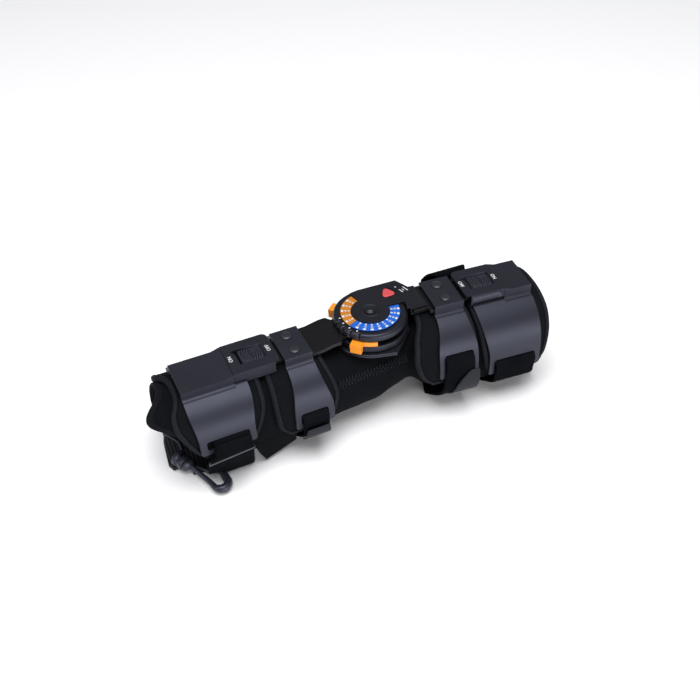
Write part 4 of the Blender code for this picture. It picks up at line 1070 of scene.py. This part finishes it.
# on the front side, where each edge of a fanned-out strap lies along the arm at a height
STRAP_FAN = {
    "left_outer": (
        ((0.0, 0.1300), (0.0120, 0.1302), (0.0300, 0.1318), (0.0450, 0.1332), (0.0600, 0.1335)),
        ((0.0, 0.1590), (0.0100, 0.1600), (0.0150, 0.1720), (0.0300, 0.1740), (0.0400, 0.1680),
         (0.0500, 0.1648)),
    ),
    "right_inner": (
        ((0.0, 0.0470), (0.0200, 0.0490), (0.0450, 0.0520), (0.0700, 0.0528)),
        ((0.0, 0.0805), (0.0200, 0.0812), (0.0450, 0.0800), (0.0700, 0.0795)),
    ),
}

# nylon loop pile, brushed: deep black and furry, with flecks of lighter loops
loop_pile = cloth("loop_pile", "#030405", "#121317", 0.0014, 0.00045, 1.0, 0.0, 0.03)
# nylon strap back, woven and heat sealed: flatter, closer and a shade lighter
sealed_strap = cloth("sealed_strap", "#131419", "#202129", 0.0012, 0.00010, 0.60, 0.06, 0.18)
# nylon lip, moulded on the strap and trimmed: hard, satin, lighter than the cloth
sealed_lip = moulded("sealed_lip", "#2E2F37", "#3C3D46", 0.42, 0.0008, 0.00002)


def flowing(line, spacing=0.0016):
    """A smooth line of evenly spaced points through given ones."""
    points = [Vector(point) for point in line]
    points = [points[0] * 2 - points[1]] + points + [points[-1] * 2 - points[-2]]
    made = []
    for a, b, c, d in zip(points, points[1:], points[2:], points[3:]):
        steps = max(1, round((c - b).length / spacing))
        for t in (step / steps for step in range(steps)):
            point = 2 * b + (c - a) * t + (2 * a - 5 * b + 4 * c - d) * t * t
            made.append(0.5 * (point + (3 * b - a - 3 * c + d) * t ** 3))
    return made + [points[-2]]


def ribbon(near_line, far_line, thick, side, soft=0.0007):
    """A flat band with rounded edges between two lines of (along, across, height), and its length.

    Both lines have the same number of points; the band's outer face is the one away from the arm.
    """
    outer, inner = [], []
    last = len(near_line) - 1
    steps = (0.0, 0.0002, soft, 0.0022, 0.0034)
    for index, (near, far) in enumerate(zip(near_line, far_line)):
        before, after = max(index - 1, 0), min(index + 1, last)
        way = (near_line[after] + far_line[after] - near_line[before] - far_line[before]).normalized()
        over = (far - near).normalized()
        normal = over.cross(way).normalized()
        width = (far - near).length
        places = [*steps, *(steps[-1] + (width - 2 * steps[-1]) * step / 6 for step in range(1, 6))]
        places += [width - step for step in reversed(steps)]
        outer_row, inner_row = [], []
        for place in places:
            depth = min(place, width - place)
            half = thick / 2
            if depth < soft:
                half *= 0.35 + 0.65 * math.sqrt(max(0.0, 1 - (1 - depth / soft) ** 2))
            from_end = min(index, last - index)
            half *= (0.55, 0.9)[from_end] if from_end < 2 else 1.0
            for row, lift in ((outer_row, half), (inner_row, -half)):
                point = near + over * place + normal * lift
                row.append((WAY[side] * point.x, point.y, point.z))
        outer.append(outer_row)
        inner.append(inner_row)
    return shell(outer, inner), sum((b - a).length for a, b in zip(near_line, near_line[1:]))


def over_floor(line, lowest):
    """The line of (across, height) points with none of them too near the table."""
    return [Vector((point[0], max(point[1], lowest))) for point in line]


for name, (edges, down) in STRAPS.items():
    side = name.split("_")[0]
    rim, (slot_low, slot_top) = CUFFS[name]["height"], CUFFS[name]["slot"]
    clear = CUFF_OUT + GAP + PILE_THICK / 2
    half = [
        oval_on(side, offset, angle_at_height(side, offset, height)) for offset, height in (
            (CUFF_OUT - 0.0018, slot_top - 0.0018), (CUFF_OUT + 0.0004, slot_top - 0.0026),
            (clear + 0.0009, slot_top - 0.0062), (clear + 0.0004, slot_low + 0.0005), (clear, rim - 0.0010),
        )
    ]
    half += down
    line = flowing([(-across, up) for across, up in half] + [(across, up) for across, up in reversed(half)])
    line = over_floor(line, PILE_THICK / 2)
    lines = []
    for edge, table in zip(edges, STRAP_FAN.get(name, [((0.0, edge),) for edge in edges])):
        shares = [min(1.0, max(0.0, -point[0] / FAN_REACH)) for point in line]
        places = [edge + (reading(table, point[1])[0] - edge) * share for point, share in zip(line, shares)]
        lines.append([Vector((place, *point)) for place, point in zip(places, line)])
    mesh, length = ribbon(*lines, PILE_THICK, side, PILE_SOFT)
    body, node = CUFF_BODY[name], "strap_" + name
    strap = put("strap_band_" + name, mesh, [loop_pile], body, [node], ARM[side])


# Free strap ends
# Each strap's end is folded back on itself over the cuff's rim and pressed flat. The ends are cut
# and heat sealed, one to a half round; the forearm's has a stiff lip moulded on its free edge.

END_THICK, LIP_THICK, FOLD_THICK = 0.0014, 0.0026, 0.0024
# (across, height) points down the end, and rows of the share of its length and its two edges' places
STRAP_ENDS = {
    "left_outer": (
        ((0.0506, 0.0562), (0.0528, 0.0530), (0.0534, 0.0470), (0.0522, 0.0400), (0.0490, 0.0345)),
        ((0.0, 0.1345, 0.1640), (0.4, 0.1338, 0.1660), (1.0, 0.1318, 0.1722)),
    ),
    "left_inner": (
        ((0.0546, 0.0400), (0.0540, 0.0335), (0.0512, 0.0280), (0.0464, 0.0232)),
        ((0.0, 0.0650, 0.0850), (0.3, 0.0638, 0.0868), (1.0, 0.0632, 0.0872)),
    ),
    "right_inner": (
        ((0.0546, 0.0530), (0.0557, 0.0470), (0.0558, 0.0405), (0.0547, 0.0340), (0.0522, 0.0280),
         (0.0470, 0.0225), (0.0395, 0.0160), (0.0300, 0.0100)),
        ((0.0, 0.0760, 0.0832), (0.05, 0.0715, 0.0836), (0.14, 0.0665, 0.0838), (0.26, 0.0625, 0.0838),
         (0.42, 0.0598, 0.0836), (0.7, 0.0590, 0.0830), (1.0, 0.0580, 0.0815)),
    ),
}
# the fold behind the right inner cuff: the way over it, then the share of its length and the place
# of each edge along the arm
FOLD_WAY = (
    (0.0268, 0.0968), (0.0280, 0.0990), (0.0306, 0.0998), (0.0340, 0.0976), (0.0378, 0.0928),
    (0.0416, 0.0872), (0.0446, 0.0820),
)
FOLD_NEAR = ((0.0, 0.0800), (0.10, 0.0750), (0.22, 0.0712), (0.40, 0.0685), (1.0, 0.0670))
FOLD_FAR = ((0.0, 0.1030), (0.2, 0.1050), (1.0, 0.1040))


def set_along(places, line):
    """The (across, height) points set at places along the arm, read by the share of the line's length."""
    last = len(line) - 1
    return [Vector((reading(places, index / last)[0], *point)) for index, point in enumerate(line)]


def lifted(line, free_from, across, up):
    """Moves the line's points evenly more from a share of its length on, up to (across, up) at its end."""
    for index, point in enumerate(line):
        share = max(0.0, index / (len(line) - 1) - free_from) / (1 - free_from)
        point.y += across * share
        point.z += up * share


for name, (points, rows) in STRAP_ENDS.items():
    side = name.split("_")[0]
    line = flowing([(-across, up) for across, up in points], 0.0010)
    near_line, far_line = (set_along([(row[0], row[edge]) for row in rows], line) for edge in (1, 2))
    finish = sealed_strap
    if name == "left_outer":
        lifted(near_line, 0.3, -0.0016, 0.0060)
        lip = (near_line[-1].copy(), far_line[-1].copy())
        finish = loop_pile
    mesh, length = ribbon(near_line, far_line, END_THICK, side)
    body, node = CUFF_BODY[name], "strap_end_" + name
    end = put("strap_tab_" + name, mesh, [finish], body, [node], ARM[side])

LIP_LEVELS = (0.0016, 0.0008, -0.0008, -0.0016)
lip_lines = [[point + Vector((0.0, -0.0002, up)) for up in LIP_LEVELS] for point in lip]
mesh, length = ribbon(*lip_lines, LIP_THICK, "left")
put("strap_lip_left_outer", mesh, [sealed_lip], "left_outer", (), ARM["left"])

clear = CUFF_OUT + GAP + FOLD_THICK / 2
line = [oval_on("right", clear, angle_at_height("right", clear, up)) for up in (0.0750, 0.0690)]
line = flowing([*FOLD_WAY, *line])
near_line, far_line = set_along(FOLD_NEAR, line), set_along(FOLD_FAR, line)
lifted(near_line[::-1], 0.25, 0.0026, -0.0050)
mesh, length = ribbon(near_line, far_line, FOLD_THICK, "right", 0.0011)
fold = put("strap_loop_right", mesh, [loop_pile], "brace", ["strap_fold_right"], ARM["right"])


# Loose corner of the sleeve
# Between the two forearm straps the sleeve's lower front sags out of the cuffs and hangs down in a
# corner to the table. It is the same knit, with its edge turned under.

# (along, across, height) points down each edge
SAG_FAR = (
    (0.1290, -0.0372, 0.0340), (0.1280, -0.0382, 0.0250),
    (0.1245, -0.0380, 0.0140), (0.1195, -0.0372, 0.0034),
)
SAG_NEAR = (
    (0.0880, -0.0372, 0.0360), (0.0882, -0.0362, 0.0250),
    (0.0884, -0.0330, 0.0150), (0.0880, -0.0292, 0.0060),
)
lines = [flowing(edge) for edge in (SAG_NEAR, SAG_FAR)]
count = min(len(line) for line in lines)
lines = [[line[round(index * (len(line) - 1) / (count - 1))] for index in range(count)] for line in lines]
mesh, length = ribbon(*lines, 0.0020, "left", 0.0009)
corner = put("sleeve_corner", mesh, [knitted_sleeve], "brace", (), ARM["left"])


# Seam of the sleeve
# The tube's long seam runs slantwise over the front of the elbow: a flat zigzag of thread that
# lies on the knit.

# place along the brace and height
SEAM = ((-0.0463, 0.0590), (-0.0120, 0.0605), (0.0250, 0.0600))
SEAM_POINTS = 47
SEAM_LIFT = 0.0003
ZIGZAG = Vector((0.0, 0.0015, 0.0033))
SEAM_OUT = Vector((0.0, -0.9, 0.4))

zigzag = []
for step in range(SEAM_POINTS):
    at = SEAM[0][0] + (SEAM[-1][0] - SEAM[0][0]) * step / (SEAM_POINTS - 1)
    half_width, half_height, middle = eased(SLEEVE_STATIONS, at, STATION_REACH)
    angle = math.pi - angle_on(half_height, middle, reading(SEAM, at)[0])
    point = Vector(sleeve_point(at, angle, -SEAM_LIFT))
    zigzag.append((point + ZIGZAG * (1 if step % 2 else -1), SEAM_OUT))
# the same thread in a thicker count, so that the zigzag stands out from the knit
seam_thread = cloth("seam_thread", "#15161A", "#24252B", 0.0008, 0.00005, 0.7, 0.03)
stitch_row("sleeve_seam", zigzag, seam_thread, "brace", BRACE, 0.0028, 0.0026, 0.0005)


# Snap hook
# A small acetal snap hook with a swivel barrel, lying on the table at the forearm strap. It is
# moulded in one with its collar, and a thin sprung gate closes its mouth.

HOOK_HEIGHT = 0.0056
HOOK_SHANK = ((-0.1814, -0.0300, 0.0088), (-0.1776, -0.0362, 0.0070), (-0.1706, -0.0506, HOOK_HEIGHT))
HOOK_BEND, BEND_RADIUS, BEND_START = (-0.1624, -0.0550), 0.0064, 205
HOOK_NOSE = ((-0.1570, -0.0480), (-0.1580, -0.0430), (-0.1608, -0.0400), (-0.1655, -0.0398))
# the bar's radius along shank, bend and nose
HOOK_RADII = (
    0.0024, 0.0023, 0.0024, 0.0028, 0.0033, 0.0037, 0.0039, 0.0039, 0.0038, 0.0037, 0.0037, 0.0036,
    0.0036, 0.0034, 0.0029, 0.0020,
)
GATE_FROM, GATE_TO, GATE_RADIUS = (-0.1779, -0.0270), (-0.1674, -0.0402), 0.0014
BARREL_FROM, BARREL_TO = Vector((-0.1900, -0.0162, 0.0106)), Vector((-0.1846, -0.0266, 0.0098))
# distance from the barrel's end and radius
COLLAR = (
    (GAP, 0.0056), (0.0006, 0.0062), (0.0026, 0.0062), (0.0032, 0.0058), (0.0040, 0.0048), (0.0060, 0.0024),
)
# share of the barrel's length and radius
BARREL = (
    (0.00, 0.0060), (0.02, 0.0068), (0.06, 0.0072), (0.30, 0.0072), (0.34, 0.0070), (0.36, 0.0056),
    (0.54, 0.0056), (0.56, 0.0066), (0.60, 0.0070), (0.92, 0.0070), (0.98, 0.0068), (1.00, 0.0062),
)
# the frame: a cross bar for the webbing, a bent arm in view and a straight one under the webbing
FRAME_ARMS = (
    ((-0.1945, 0.0110, 0.0146), (-0.1922, 0.0075, 0.0156), (-0.1856, -0.0038, 0.0158),
     (-0.1846, -0.0090, 0.0148), (-0.1848, -0.0143, 0.0130), (-0.1878, -0.0178, 0.0108)),
    ((-0.1940, 0.0100, 0.0126), (-0.1958, 0.0030, 0.0088), (-0.1950, -0.0080, 0.0074),
     (-0.1912, -0.0168, 0.0096)),
)
ARM_RADIUS = 0.0014

# acetal, moulded and tumbled: dark, hard and glossy, with sharp small highlights
glossy_acetal = moulded(
    "glossy_acetal", "#1C1D24", "#2A2B34", 0.30, 0.0010, 0.00002, ior=1.52, specular_tint=NYLON_GLEAM,
)


def round_bar(rows, sides=18):
    """A closed round bar through (x, y, z, radius) rows."""
    points, faces = [], []
    for index, row in enumerate(rows):
        before, after = rows[max(index - 1, 0)], rows[min(index + 1, len(rows) - 1)]
        way = (Vector(after[:3]) - Vector(before[:3])).normalized()
        across = Vector((0.0, 0.0, 1.0)).cross(way).normalized()
        over = way.cross(across)
        for side in range(sides):
            angle = 2 * math.pi * (side + 0.5) / sides
            points.append(Vector(row[:3]) + (across * math.cos(angle) + over * math.sin(angle)) * row[3])
    for ring in range(len(rows) - 1):
        for side in range(sides):
            a, b = ring * sides + side, ring * sides + (side + 1) % sides
            faces.append((a, a + sides, b + sides, b))
    faces += [tuple(range(sides)), tuple(range(len(points) - sides, len(points)))[::-1]]
    return built("bar", points, faces, outward=True)


def joined(meshes):
    """Several closed meshes as one."""
    return reworked(meshes[0], lambda work: [work.from_mesh(mesh) for mesh in meshes[1:]])


bend = []
for step in range(9):
    angle = math.radians(BEND_START + 180 * step / 8)
    x, y = HOOK_BEND[0] + BEND_RADIUS * math.cos(angle), HOOK_BEND[1] + BEND_RADIUS * math.sin(angle)
    bend.append((x, y, HOOK_HEIGHT))
route = [*HOOK_SHANK, *bend, *((x, y, HOOK_HEIGHT) for x, y in HOOK_NOSE)]
hook_rows = flowing([(*point, radius) for point, radius in zip(route, HOOK_RADII)], 0.0011)
way = (BARREL_TO - BARREL_FROM).normalized()
collar_rows = [Vector((*(BARREL_TO + way * part), radius)) for part, radius in COLLAR]
hook_mesh = joined([round_bar(hook_rows), round_bar(collar_rows, 32)])
put("hook_moulding", hook_mesh, [glossy_acetal], "left_outer", ["snap_hook"])

gate_rows = flowing([(*point, HOOK_HEIGHT, GATE_RADIUS) for point in (GATE_FROM, GATE_TO)], 0.0010)
gate = put("gate_bar", round_bar(gate_rows, 14), [glossy_acetal], "gate", ["hook_gate"])
soften(gate, 0.0003, 2)

barrel_rows = [Vector((*BARREL_FROM.lerp(BARREL_TO, part), radius)) for part, radius in BARREL]
arms = [round_bar(flowing([(*point, ARM_RADIUS) for point in arm], 0.0010), 12) for arm in FRAME_ARMS]
barrel_mesh = joined([round_bar(barrel_rows, 36), *arms])
put("hook_swivel", barrel_mesh, [glossy_acetal], "left_outer", ["hook_frame"])


# Hook webbing
# Ribbed nylon webbing, 1.4 mm thick: a narrow piece folded round the swivel's cross bar, and a wide
# one that lies beside it under the outer strap, to which both are sewn.

WEBBING_THICK, WEBBING_SOFT = 0.0014, 0.0005
WEBBING_FLOOR = 0.0008
# the ways of the two pieces as (across, height) points
LOOP_WAY = (
    (0.0290, 0.0048), (0.0200, 0.0013), (0.0100, 0.0010), (-0.0040, 0.0010), (-0.0205, 0.0010),
    (-0.0217, 0.0019), (-0.0205, 0.0028), (-0.0160, 0.0040), (-0.0090, 0.0086), (-0.0020, 0.0118),
    (0.0040, 0.0134), (0.0085, 0.0126), (0.0110, 0.0098), (0.0100, 0.0060),
)
TAIL_WAY = (
    (0.0260, 0.0040), (0.0140, 0.0070), (0.0020, 0.0096), (-0.0080, 0.0070), (-0.0160, 0.0026),
    (-0.0230, 0.0009), (-0.0330, 0.0009),
)
# across, and where the loop's free edge lies along the brace
LOOP_EDGE = ((-0.0217, -0.1958), (-0.0150, -0.1984), (-0.0020, -0.1976), (0.0080, -0.1945), (0.0300, -0.1940))
LOOP_FAR, TAIL_NEAR, TAIL_FAR = -0.1815, -0.1810, -0.1530

# nylon webbing, woven with raised ribs 1.6 mm apart: dark with soft light ridges
ribbed_webbing, tree, shader = new_finish(
    "ribbed_webbing", "#0B0C0E", 0.75, sheen_weight=0.08, specular_ior_level=0.2,
)
where = {"Vector": (add(tree, "TexCoord"), "Object")}
wave = {"Scale": 100.0, "Distortion": 0.6, "Detail": 2.0}
ribs = add(tree, "TexWave", wave, where, bands_direction="X")
shades = {6: linear("#060708"), 7: linear("#2C2D34")}
mixed = add(tree, "Mix", shades, {0: (ribs, "Fac")}, data_type="RGBA")
tree.links.new(mixed.outputs[2], shader.inputs["Base Color"])
bump = add(tree, "Bump", {"Strength": 0.9, "Distance": 0.0004}, {"Height": (ribs, "Fac")})
tree.links.new(bump.outputs["Normal"], shader.inputs["Normal"])

line = over_floor(flowing(LOOP_WAY, 0.0010), WEBBING_FLOOR)
near_line = [Vector((reading(LOOP_EDGE, point[0])[0], *point)) for point in line]
far_line = [Vector((LOOP_FAR, *point)) for point in line]
mesh, length = ribbon(near_line, far_line, WEBBING_THICK, "right", WEBBING_SOFT)
webbing = put("webbing_loop", mesh, [ribbed_webbing], "left_outer", ["hook_webbing"])

line = over_floor(flowing(TAIL_WAY, 0.0012), WEBBING_FLOOR)
near_line, far_line = ([Vector((edge, *point)) for point in line] for edge in (TAIL_NEAR, TAIL_FAR))
mesh, length = ribbon(near_line, far_line, WEBBING_THICK, "right", WEBBING_SOFT)
tail_piece = put("webbing_tail", mesh, [ribbed_webbing], "left_outer")
